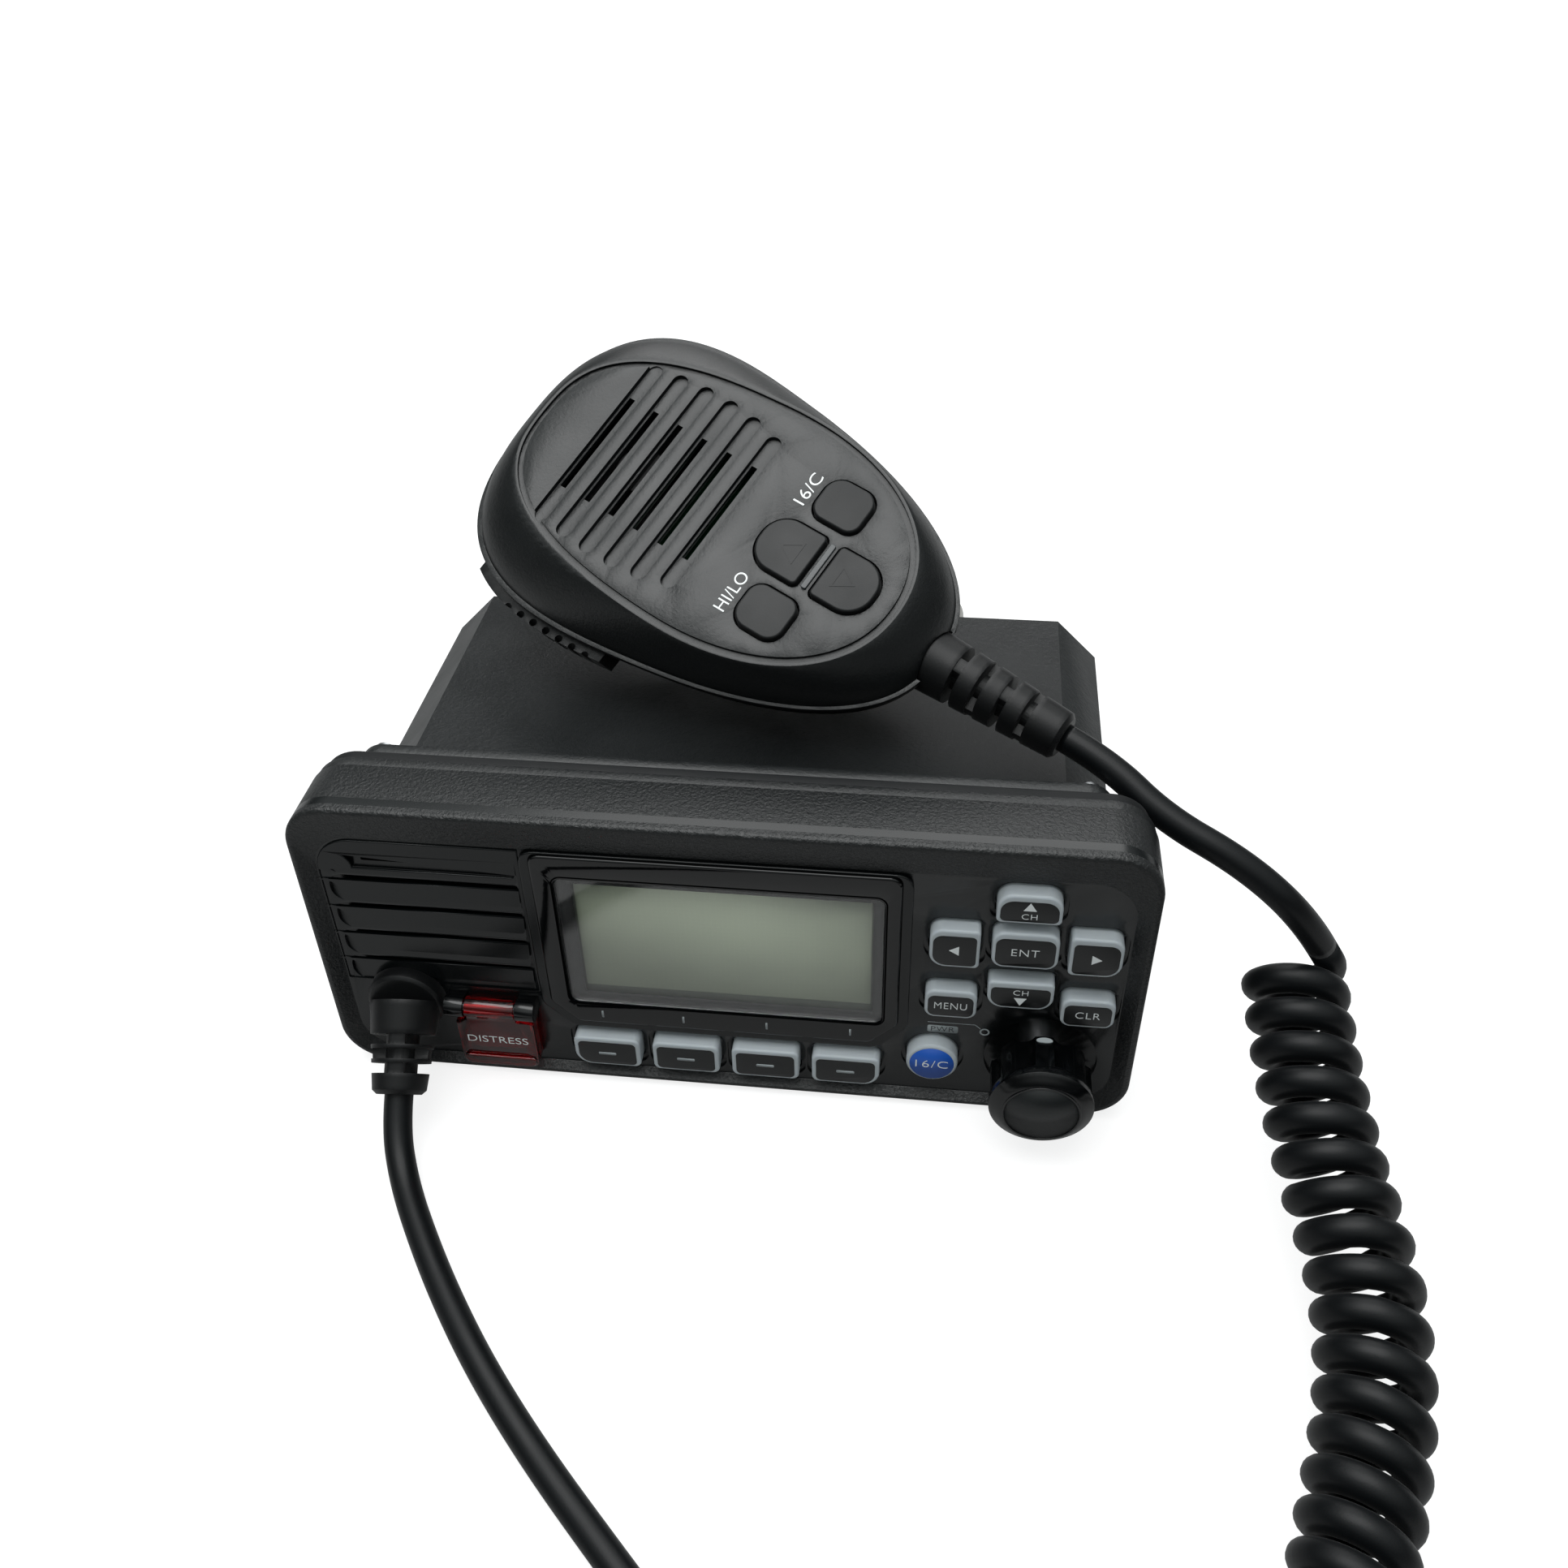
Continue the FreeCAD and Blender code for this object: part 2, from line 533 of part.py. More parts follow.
bosses = [rod("boss_right", f"{INSERT_RADIUS} + 2", "insert_length - chassis_wall + 1.4",
              placed(f"{SIDE} - insert_length - 1.2", "insert_y", "insert_z", ALONG_X)),
          rod("boss_left", f"{INSERT_RADIUS} + 2", "insert_length - chassis_wall + 1.4",
              placed(f"-({SIDE}) + chassis_wall - 0.2", "insert_y", "insert_z", ALONG_X))]
seats = [rod("seat_right", INSERT_RADIUS, "insert_length + 1",
             placed(f"{SIDE} - insert_length", "insert_y", "insert_z", ALONG_X)),
         rod("seat_left", INSERT_RADIUS, "insert_length + 1",
             placed(f"-({SIDE}) - 1", "insert_y", "insert_z", ALONG_X))]
FIN_LEFT = "-chassis_width / 2 + 8"
FINS = int(number("fin_count"))
fins = [box(f"fin_{i}", (f"{FIN_LEFT} + fin_pitch * {i}", f"{FIN_LEFT} + fin_pitch * {i} + fin_thick"),
            (f"{CHASSIS_BACK} - 0.2", f"{CHASSIS_BACK} + fin_depth"),
            ("chassis_drop + 6", "chassis_drop + chassis_height - 6")) for i in range(FINS)]
FLANGE_SCREWS = [rod(f"flange_bore_{i}", SCREW_BODY, "flange_depth + 2",
                     placed(x, f"{GASKET_BACK} - 1", z, ALONG_Y)) for i, (x, z) in enumerate(SCREWS)]
POWER_X = "4"
DATA_X = "56"
GLAND_Z = "20"
gland_holes = [rod("power_hole", "4", "6", placed(POWER_X, f"{CHASSIS_BACK} - 4", GLAND_Z, ALONG_Y)),
               rod("data_hole", "3", "6", placed(DATA_X, f"{CHASSIS_BACK} - 4", GLAND_Z, ALONG_Y)),
               rod("socket_hole", "5", "6", placed("socket_x", f"{CHASSIS_BACK} - 4", "socket_z", ALONG_Y))]
chassis_raw = fuse("chassis_raw", tub, flange)
chassis_tub = cut("chassis_tub", chassis_raw, cavity)
chassis_full = fuse("chassis_full", chassis_tub, *board_posts, *bosses, *fins)
node("chassis", cut("chassis_bored", chassis_full, *board_bores, *seats, *FLANGE_SCREWS, *gland_holes))


def insert(name, start):
    shell = rod(name + "_shell", INSERT_RADIUS, "insert_length", placed(start, "insert_y", "insert_z", ALONG_X))
    bore = rod(name + "_bore", "insert_bore", "insert_length + 2",
               placed(f"{start} - 1", "insert_y", "insert_z", ALONG_X))
    return cut(name, shell, bore)


node("bracket_inserts", insert("insert_right", f"{SIDE} - insert_length"), insert("insert_left", f"-({SIDE})"))


# Screws: a pan head on a shank, along the turned Z from the tip
def screw(name, shank, head, spot, thick="1.3"):
    points = [("0", "0"), ("screw_radius", "0"), ("screw_radius", shank), (head, shank),
              (head, f"({shank}) + ({thick})"), ("0", f"({shank}) + ({thick})")]
    return turned(name, points, spot)


CASE_SHANK = f"{FLANGE_BACK} - {SEAM} + 5"
node("case_screws", *[screw(f"case_screw_{i}", CASE_SHANK, "2.1", placed(x, f"{SEAM} - 5", z, ALONG_Y))
                      for i, (x, z) in enumerate(SCREWS)])
node("board_screws", *[screw(f"board_screw_{i}", "board_thick + 5", "2.7", placed(x, y, f"{BOARD_Z} - 5", UPRIGHT))
                       for i, (x, y) in enumerate(POSTS)])

# Display frame, lens and module
D_LEFT = "-display_width / 2"
D_RIGHT = "display_width / 2"
D_HIGH = "display_low + display_height"
frame_points = [(f"{D_LEFT} + display_cut", "display_low"), (f"{D_RIGHT} - display_cut", "display_low"),
                (D_RIGHT, "display_low + display_cut"), (D_RIGHT, D_HIGH), (D_LEFT, D_HIGH),
                (D_LEFT, "display_low + display_cut")]
display_blank = prism("display_blank", frame_points, (f"{PANEL} - display_proud", PANEL))
soften(display_blank, "2.2", lambda e: e.BoundBox.YLength > 0.5)
soften(display_blank, "0.5", lies_at_y(f"{PANEL} - display_proud"))
LENS_X = ("-lens_width / 2 + 0.5", "lens_width / 2 + 0.5")
LENS_Z = ("lens_low", "lens_low + lens_height")
lens_seat = slab("lens_seat", LENS_X, LENS_Z, (f"{PANEL} - 3", f"{PANEL} + 1"), "1.8")
node("display_frame", cut("display_open", display_blank, lens_seat))
lens_plate = slab("lens_plate", (f"{LENS_X[0]} + fit_gap", f"{LENS_X[1]} - fit_gap"),
                  (f"{LENS_Z[0]} + fit_gap", f"{LENS_Z[1]} - fit_gap"),
                  (f"{PANEL} - display_proud + 0.1", PANEL), "1.8 - fit_gap")
lens_boss = slab("lens_boss", (f"{WINDOW_X[0]} + fit_gap", f"{WINDOW_X[1]} - fit_gap"),
                 (f"{WINDOW_Z[0]} + fit_gap", f"{WINDOW_Z[1]} - fit_gap"), (PANEL, BEHIND), "1.2")
node("display_lens", fuse("lens_whole", lens_plate, lens_boss))
node("display_module", box("module_block", ("-31", "31"), (BEHIND, f"{BEHIND} + 3.4"), ("18.4", "55.4")))


# Keys
def key(name):
    middle, low, high, width, radii = KEYS[name]
    cap = slab(name + "_cap", *grown(name, "0")[:2], (KEY_FRONT, f"{BEHIND} + 0.5"), radii)
    soften(cap, "0.5", lies_at_y(KEY_FRONT))
    brim = slab(name + "_brim", *grown(name, "key_brim")[:2], (f"{BEHIND} + 0.1", f"{BEHIND} + 0.9"),
                grown(name, "key_brim")[2])
    stem = box(name + "_stem", (f"{middle} - 2", f"{middle} + 2"), (f"{BEHIND} + 0.5", f"{MAT_FRONT} - key_travel - 0.2"),
               (f"(({low}) + ({high})) / 2 - 1.5", f"(({low}) + ({high})) / 2 + 1.5"))
    node(name, fuse(name + "_whole", cap, brim, stem))


for name in KEYS:
    key(name)

round_points = [("0", "0"), ("round_key + key_brim", "0"), ("round_key + key_brim", "0.8"), ("round_key", "0.8"),
                ("round_key", "skin + key_proud + 0.5"), ("round_key - 0.4", "skin + key_proud + 0.9"),
                ("0", "skin + key_proud + 0.9")]
round_cap = turned("round_cap", round_points, placed(ROUND_X, f"{BEHIND} + 0.9", ROUND_Z, TOWARD_FRONT))
round_stem = rod("round_stem", "2", "1.1", placed(ROUND_X, f"{BEHIND} + 0.8", ROUND_Z, ALONG_Y))
node("key_round", fuse("round_whole", round_cap, round_stem))

distress_cap = slab("distress_cap", DISTRESS_X, DISTRESS_Z, (f"{PANEL} - 0.5", f"{BEHIND} + 0.5"), "1.6")
distress_brim = slab("distress_brim", (f"{DISTRESS_X[0]} - key_brim", f"{DISTRESS_X[1]} + key_brim"),
                     (f"{DISTRESS_Z[0]} - key_brim", f"{DISTRESS_Z[1]} + key_brim"),
                     (f"{BEHIND} + 0.1", f"{BEHIND} + 0.9"), "2.4")
distress_stem = box("distress_stem", (f"{DISTRESS_X[0]} + 4", f"{DISTRESS_X[1]} - 4"),
                    (f"{BEHIND} + 0.5", f"{MAT_FRONT} - key_travel - 0.2"),
                    (f"{DISTRESS_Z[0]} + 3", f"{DISTRESS_Z[1]} - 3"))
node("distress_key", fuse("distress_whole", distress_cap, distress_brim, distress_stem))

# Distress cover on its pin between two knuckles
PIN_Y = f"({PANEL} - hinge_out)"
KNUCKLE = "3.7"
knuckle_rods = [rod(f"knuckle_{side}", "knuckle_radius", KNUCKLE, placed(start, PIN_Y, "hinge_z", ALONG_X))
                for side, start in (("left", "hinge_left"), ("right", f"hinge_right - {KNUCKLE}"))]
knuckle_feet = [box(f"foot_{side}", (start, f"{start} + {KNUCKLE}"), (PIN_Y, PANEL), ("hinge_z - 1.6", "hinge_z + 1.6"))
                for side, start in (("left", "hinge_left"), ("right", f"hinge_right - {KNUCKLE}"))]
pin_way = rod("pin_way", "pin_radius + bore_gap", "hinge_right - hinge_left - 1.6",
              placed("hinge_left + 0.8", PIN_Y, "hinge_z", ALONG_X))
node("hinge_knuckles", cut("knuckles_bored", fuse("knuckles_raw", *knuckle_rods, *knuckle_feet), pin_way))
node("hinge_pin", rod("pin_rod", "pin_radius", "hinge_right - hinge_left - 2",
                      placed("hinge_left + 1", PIN_Y, "hinge_z", ALONG_X)))

COVER_X = ("hinge_left + 1.8", "hinge_right - 0.6")
COVER_TOP = "hinge_z - knuckle_radius - 0.5"
COVER_Y = (f"{PIN_Y} - flap_thick", PIN_Y)
barrel = rod("cover_barrel", "knuckle_radius - 0.2", f"hinge_right - hinge_left - 2 * {KNUCKLE} - 0.6",
             placed(f"hinge_left + {KNUCKLE} + 0.3", PIN_Y, "hinge_z", ALONG_X))
cover_plate = slab("cover_plate", COVER_X, ("flap_low", COVER_TOP), COVER_Y, ["1.6", "0.6", "0.6", "1.6"])
cover_neck = box("cover_neck", (f"hinge_left + {KNUCKLE} + 0.3", f"hinge_right - {KNUCKLE} - 0.3"), COVER_Y,
                 (f"{COVER_TOP} - 0.5", "hinge_z"))
cover_rim = slab("cover_rim", COVER_X, ("flap_low", COVER_TOP), (f"{PIN_Y} - 0.1", f"{PANEL} - 0.6"),
                 ["1.6", "0.6", "0.6", "1.6"])
cover_room = slab("cover_room", (f"{COVER_X[0]} + 0.9", f"{COVER_X[1]} - 0.9"), ("flap_low + 0.9", f"{COVER_TOP} + 3"),
                  (PIN_Y, f"{PANEL} + 1"), ["0.8", "0.8", "0.8", "0.8"])
cover_skirt = cut("cover_skirt", cover_rim, cover_room)
cover_bore = rod("cover_bore", "pin_radius + bore_gap", "hinge_right - hinge_left", placed("hinge_left", PIN_Y, "hinge_z", ALONG_X))
node("distress_cover", cut("cover_whole", fuse("cover_raw", barrel, cover_plate, cover_neck, cover_skirt), cover_bore))

# Knob with eight flutes, front ring and dished face, and the encoder that carries it
KNOB_BACK = f"({PANEL} - rim_recess - knob_push - 0.3)"
knob_points = [("shaft_radius + bore_gap", "3"), ("knob_radius - 2.4", "3"), ("knob_radius - 2.4", "0"),
               ("knob_radius", "0"), ("knob_radius", "knob_length - 3.4"), ("knob_radius + 0.3", "knob_length - 3"),
               ("knob_radius + 0.3", "knob_length - 1.6"), ("knob_radius - 1.5", "knob_length - 0.3"),
               ("knob_radius - 2.2", "knob_length"), ("0", "knob_length"), ("0", "knob_length - 3"),
               ("shaft_radius + bore_gap", "knob_length - 3")]
knob_turned = turned("knob_turned", knob_points, placed("knob_x", KNOB_BACK, "knob_z", TOWARD_FRONT))
FLUTES = 8
FLUTE_OUT = number("knob_radius") + 1.5
flutes = []
for index in range(FLUTES):
    angle = 2 * math.pi * (index + 0.5) / FLUTES
    flutes.append(rod(f"flute_{index}", "2.6", "knob_length - 3.6",
                      placed(f"knob_x + (knob_radius + 1.5) * {math.cos(angle):.6f}", f"{KNOB_BACK} + 0.01",
                             f"knob_z + (knob_radius + 1.5) * {math.sin(angle):.6f}", TOWARD_FRONT)))
node("knob", cut("knob_fluted", knob_turned, *flutes))

encoder_block = box("encoder_block", ("knob_x - 6.5", "knob_x + 6.5"), (BEHIND, f"{MAT_BACK} + 0.1"),
                    ("knob_z - 6.5", "knob_z + 6.5"))
encoder_bore = rod("encoder_bore", "shaft_radius + bore_gap", "5", placed("knob_x", f"{BEHIND} + 3", "knob_z", TOWARD_FRONT))
node("encoder", cut("encoder_whole", encoder_block, encoder_bore))
node("knob_shaft", rod("shaft_rod", "shaft_radius", f"{BEHIND} + 1.5 - {KNOB_BACK} + knob_length - 4",
                       placed("knob_x", f"{BEHIND} + 1.5", "knob_z", TOWARD_FRONT)))

# Key mat and front board behind the keys
node("key_mat", fuse("mat_whole",
                     box("mat_pad", ("pad_mid - pad_side - 6", "pad_mid + pad_side + 6"), (MAT_FRONT, MAT_BACK), ("24.4", "58")),
                     box("mat_row", ("-31.5", "46.5"), (MAT_FRONT, MAT_BACK), ("3.6", "18")),
                     box("mat_link", ("37.3", "46.5"), (MAT_FRONT, MAT_BACK), ("17", "25")),
                     box("mat_distress", (DISTRESS_X[0], "-31"), (MAT_FRONT, MAT_BACK), ("3.6", "16"))))
board_plate = box("front_board_plate", ("-54", "73.4"), (f"{MAT_BACK} + 0.1", f"{MAT_BACK} + 0.1 + board_thick"), ("4.2", "59.2"))
board_notch = rod("board_notch", "speaker_radius + 1", "6", placed("speaker_x", f"{MAT_BACK} - 2", "speaker_z", ALONG_Y))
board_gaps = [rod(f"board_gap_{i}", "3.3", "6", placed(x, f"{MAT_BACK} - 2", z, ALONG_Y))
              for i, (x, z) in enumerate(SCREWS)]
node("front_board", cut("front_board_open", board_plate, board_notch, *board_gaps))

# Loudspeaker behind the grille
speaker_points = [("0", "0.9"), ("speaker_radius - 4", "2.2"), ("speaker_radius - 1.6", "0"), ("speaker_radius", "0"),
                  ("speaker_radius", "1.6"), ("speaker_radius - 2", "2"), ("11.6", "6.4"), ("11.6", "13"), ("0", "13")]
node("loudspeaker", turned("speaker_turned", speaker_points, placed("speaker_x", f"{BEHIND} + 0.1", "speaker_z", ALONG_Y)))

# Main board with its tall parts
main_plate = box("main_plate", ("-66", "66"), ("26", "80"), (BOARD_Z, f"{BOARD_Z} + board_thick"))
main_bores = [rod(f"main_bore_{i}", SCREW_BODY, "6", placed(x, y, f"{BOARD_Z} - 2", UPRIGHT)) for i, (x, y) in enumerate(POSTS)]
tall_parts = [box("power_stage", ("-30", "10"), ("52", "74"), (f"{BOARD_Z} + board_thick - 0.1", f"{BOARD_Z} + 9")),
              box("shield_can", ("20", "52"), ("34", "68"), (f"{BOARD_Z} + board_thick - 0.1", f"{BOARD_Z} + 6")),
              rod("capacitor", "5", "12", placed("-46", "40", f"{BOARD_Z} + board_thick - 0.1", UPRIGHT))]
main_open = cut("main_open", main_plate, *main_bores)
node("main_board", fuse("main_whole", main_open, *tall_parts))

# Antenna socket and glands at the back
socket_points = [("0", "0"), ("socket_radius + 2.6", "0"), ("socket_radius + 2.6", "3.2"), ("socket_radius + 1", "4"),
                 ("socket_radius + 1", "8"), ("socket_radius", "8.6"), ("socket_radius", "socket_length"),
                 ("socket_radius - 1.6", "socket_length"), ("socket_radius - 1.6", "socket_length - 1.2"),
                 ("contact_radius", "socket_length - 1.2"), ("contact_radius", "socket_length - 11.2"),
                 ("0", "socket_length - 11.2")]
node("antenna_socket", turned("socket_turned", socket_points, placed("socket_x", CHASSIS_BACK, "socket_z", ALONG_Y)))


def gland(name, x, radius, cord_radius):
    points = [(cord_radius, "0"), (f"{radius} + 1.6", "0"), (f"{radius} + 1.6", "2"), (radius, "3"),
              (f"{radius} - 1.2", "12"), (cord_radius, "12")]
    node(name, turned(name + "_turned", points, placed(x, CHASSIS_BACK, GLAND_Z, ALONG_Y)))


gland("power_gland", POWER_X, "5.4", "3")
gland("data_gland", DATA_X, "4.4", "2.3")


# Ribbed boots: a tapered sleeve with ring grooves, bridged by webs that turn a quarter from groove to groove
def boot(name, wide, narrow, length, rings, groove, start, spot):
    """A boot along its turned Z; start is the smooth length before the first groove."""
    def radius(at):
        return wide + (narrow - wide) * at / length
    core = narrow * 0.62
    pitch = (length - start - 3.2) / rings
    points = [(0, 0), (radius(0), 0)]
    for index in range(rings):
        low = start + pitch * index
        points += [(radius(low), low), (core, low), (core, low + groove), (radius(low + groove), low + groove)]
    points += [(radius(length - 0.8), length - 0.8), (radius(length) - 0.8, length), (0, length)]
    body = turned(name + "_sleeve", [(f"{a:.4f}", f"{b:.4f}") for a, b in points], placed())
    envelope = turned(name + "_envelope", [("0", "0.1"), (f"{radius(0) - 0.25:.4f}", "0.1"),
                                           (f"{radius(length) - 0.25:.4f}", f"{length - 0.9:.4f}"),
                                           ("0", f"{length - 0.9:.4f}")], placed())
    webs = []
    for index in range(rings):
        low = start + pitch * index
        span, thick = (wide + 1, narrow * 0.3)
        x, y = (span, thick) if index % 2 else (thick, span)
        webs.append(box(f"{name}_web_{index}", (f"-{x:.4f}", f"{x:.4f}"), (f"-{y:.4f}", f"{y:.4f}"),
                        (f"{low - 0.2:.4f}", f"{low + groove + 0.2:.4f}")))
    ribs = common(name + "_ribs", fuse(name + "_webs", *webs), envelope)
    whole = fuse(name + "_raw", body, ribs)
    whole.Placement = spot
    return whole


def aimed(start, end):
    """A placement that starts at a point and turns Z toward another."""
    return FreeCAD.Placement(start, FreeCAD.Rotation(Z_AXIS, end - start))


# Boot of the cord in the radio's left lower corner, set in its round collar
BOOT_ROOT = VECTOR(-62.7, -0.4, 18.5)
BOOT_END = REST.inverse().multVec(VECTOR(-61.6, -26.8, 9.9))
boot_length = (BOOT_END - BOOT_ROOT).Length
radio_boot_raw = boot("radio_boot_part", 6.9, 5.1, boot_length, 3, 2.0, 6.4, aimed(BOOT_ROOT, BOOT_END))
boot_collar = turned("boot_collar", [("0", "0"), ("7.5", "0"), ("7.5", "2.6"), ("6.9", "3.2"), ("0", "3.2")],
                     placed("-62.7", PANEL, "18.5", TOWARD_FRONT))
boot_trim = box("boot_trim", ("-75", "-50"), (PANEL, "20"), ("0", "40"))
node("radio_boot", cut("radio_boot_whole", fuse("radio_boot_join", radio_boot_raw, boot_collar), boot_trim))


# Microphone, in its own frame: X to its right, Y to its grille end, Z out of its face
def mic_pose():
    turn = FreeCAD.Rotation(Z_AXIS, number("mic_turn"))
    turn = turn.multiply(FreeCAD.Rotation(X_AXIS, number("mic_pitch")))
    turn = turn.multiply(FreeCAD.Rotation(Y_AXIS, number("mic_roll")))
    spot = VECTOR(number("mic_x"), number("mic_y"), number("mic_z"))
    return REST.multiply(FreeCAD.Placement(spot, turn))


MIC = mic_pose()
OUTLINE_POINTS = 28


def egg(half, taper, power_up, power_down, middle, up, down, inset=0.0):
    """Points of a closed egg outline: a superellipse whose width grows toward its grille end."""
    points = []
    for index in range(OUTLINE_POINTS):
        angle = 2 * math.pi * index / OUTLINE_POINTS
        side, rise = math.cos(angle), math.sin(angle)
        reach = (up if rise > 0 else down) - inset
        power = power_up if rise > 0 else power_down
        y = reach * math.copysign(abs(rise) ** (2 / power), rise)
        x = (half - inset) * (1 + taper * y / 50) * math.copysign(abs(side) ** (2 / power), side)
        points.append(VECTOR(x, middle + y, 0))
    return points


def seam_points(inset=0.0):
    return egg(number("mic_half"), 0.227, 2.7, 2.48, number("mic_mid"), number("mic_up"), number("mic_down"), inset)


def face_points(inset=0.0):
    return egg(number("face_half"), -0.1, 2.7, 2.1, 5.8, 42.7, 43.3, inset)


def blended(share, inset=0.0, shrink=1.0):
    """An outline between the face (0) and the seam (1), shrunk about the middle of the seam."""
    centre = VECTOR(0, number("mic_mid"), 0)
    pairs = zip(face_points(inset), seam_points(inset))
    return [centre + (a + (b - a) * share - centre) * shrink for a, b in pairs]


def ring(points, level):
    curve = Part.BSplineCurve()
    curve.interpolate([VECTOR(p.x, p.y, level) for p in points], PeriodicFlag=True)
    return Part.Wire([curve.toShape()])


def lofted(sections):
    return Part.makeLoft([ring(points, level) for points, level in sections], True, False)


def shaped(name, shape):
    item = doc.addObject("Part::Feature", name)
    item.Shape = shape
    return item


SEAM_Z = -number("mic_seam")
BACK_Z = -number("mic_deep")
WALL = number("mic_wall")
FRONT_LEVELS = [(0.0, 0.0), (0.1, -0.6), (0.42, -3.0), (0.82, -7.0), (1.0, SEAM_Z)]
front_outer = lofted([(blended(share), level) for share, level in FRONT_LEVELS])
front_inner = lofted([(blended(share, WALL), level - (WALL if level > -1 else 0.0))
                      for share, level in ((0.0, 0.0), (0.42, -3.4), (0.82, -7.2), (1.0, SEAM_Z - 0.5))])
lip_ring = lofted([(blended(1.0, -0.7), SEAM_Z + 1.3), (blended(1.0, -0.7), SEAM_Z)])
lip_core = lofted([(blended(1.0, 0.5), SEAM_Z + 1.4), (blended(1.0, 0.5), SEAM_Z - 0.1)])
front_case_shape = front_outer.cut(front_inner).fuse(lip_ring.cut(lip_core))
groove_out = lofted([(blended(0.0, 0.6), 1.0), (blended(0.0, 0.6), -0.7)])
groove_in = lofted([(blended(0.0, 1.7), 1.0), (blended(0.0, 1.7), -0.8)])
mic_front_blank = shaped("mic_front_blank", front_case_shape.cut(groove_out.cut(groove_in)))

# Six scooped slots over sound slits
SLOT_HALF = [20.1, 20.6, 21.0, 20.9, 20.2, 18.6]
SLIT_HALF = 11.5
OVER = 1.0


def slot(index, half):
    middle = f"(slot_first - slot_pitch * {index})"
    body = doc.addObject("PartDesign::Body", f"mic_slot_{index}")
    sketch = rounded_sketch(body, f"mic_slot_outline_{index}", (f"-{half}", f"{half}"),
                            (f"{middle} - slot_width / 2", f"{middle} + slot_width / 2"),
                            ["slot_width * 0.49"] * 4, "-1.1", role="XY_Plane")
    padded(body, f"mic_slot_pad_{index}", sketch, "3", back=False)
    through = box(f"mic_slit_{index}", (f"-{SLIT_HALF}", f"{SLIT_HALF}"),
                  (f"{middle} + slot_width / 2 - 1.7", f"{middle} + slot_width / 2 - 0.4"), ("-4", "1"))
    return [body, through]


slot_tools = [tool for index, half in enumerate(SLOT_HALF) for tool in slot(index, half)]

# Microphone keys: middle, low and high along its length, width, corner radii
MIC_KEYS = {
    "mic_key_round": ("12.9", "-21.6", "-11.1", "9.4", ("3.2", "3.6", "3", "2.6")),
    "mic_key_power": ("-12.9", "-21.6", "-11.1", "9.4", ("2.6", "3", "3.6", "3.2")),
    "mic_key_up": ("0", "-17.9", "-6.2", "11.4", ("1", "5.2", "5.2", "1")),
    "mic_key_down": ("0", "-32", "-21", "11.4", ("5.2", "1", "1", "5.2")),
}


def mic_plate(name, key, grow, low, high):
    middle, bottom, top, width, radii = MIC_KEYS[key]
    body = doc.addObject("PartDesign::Body", name)
    sketch = rounded_sketch(body, name + "_outline", (f"{middle} - ({width}) / 2 - ({grow})", f"{middle} + ({width}) / 2 + ({grow})"),
                            (f"{bottom} - ({grow})", f"{top} + ({grow})"), [f"({r}) + ({grow})" for r in radii], low, role="XY_Plane")
    padded(body, name + "_pad", sketch, f"({high}) - ({low})", back=False)
    return body


mic_key_holes = [mic_plate(f"{key}_hole", key, "0.45", "-5", "1") for key in MIC_KEYS]
BOOT_Z = -13.6
MIC_BOARD = "6"
mic_boot_hole = rod("mic_boot_hole", "6.7", "12", placed("0", "-36.5", str(BOOT_Z), FreeCAD.Rotation(X_AXIS, 90)))
mic_screw_spots = [("-22", "27"), ("22", "27"), ("-13", "-31"), ("13", "-31")]
mic_posts = [rod(f"mic_post_{i}", "1.8", f"{MIC_BOARD} - 1.6", placed(x, y, f"-{MIC_BOARD}", UPRIGHT))
             for i, (x, y) in enumerate([("-15", "13"), ("15", "13"), ("-9", "-24.6"), ("9", "-24.6")])]
mic_front_open = cut("mic_front_open", mic_front_blank, *slot_tools, *mic_key_holes, mic_boot_hole)
node("mic_front_case", fuse("mic_front_posts", mic_front_open, *mic_posts), placement=MIC)

# Rear case with its rounded back, the talk key's opening and the hanger's seat
REAR_LEVELS = [(1.0, SEAM_Z), (0.985, SEAM_Z - 4), (0.9, SEAM_Z - 9.5), (0.76, BACK_Z + 3), (0.62, BACK_Z)]
rear_outer = lofted([(blended(1.0, 0.15, shrink), level) for shrink, level in REAR_LEVELS])
rear_inner = lofted([(blended(1.0, WALL, shrink), level + (WALL if level < BACK_Z + 1 else 0.0))
                     for shrink, level in REAR_LEVELS[1:]] )
rear_mouth = lofted([(blended(1.0, WALL + 0.1), SEAM_Z + 0.5), (blended(1.0, WALL + 0.4, 0.985), SEAM_Z - 4.2)])
mic_rear_blank = shaped("mic_rear_blank", rear_outer.cut(rear_inner).cut(rear_mouth))
TALK_Y = ("11", "45")
TALK_Z = (f"{SEAM_Z - 8.6:.4f}", f"{SEAM_Z - 1.6:.4f}")
talk_way = box("talk_way", ("-45", "-14"), (f"{TALK_Y[0]} - 0.4", f"{TALK_Y[1]} + 0.4"),
               (f"{TALK_Z[0]} - 0.35", f"{TALK_Z[1]} + 0.35"))
mic_boot_way = rod("mic_boot_way", "6.7", "12", placed("0", "-36.5", str(BOOT_Z), FreeCAD.Rotation(X_AXIS, 90)))
node("mic_rear_case", cut("mic_rear_open", mic_rear_blank, talk_way, mic_boot_way), placement=MIC)

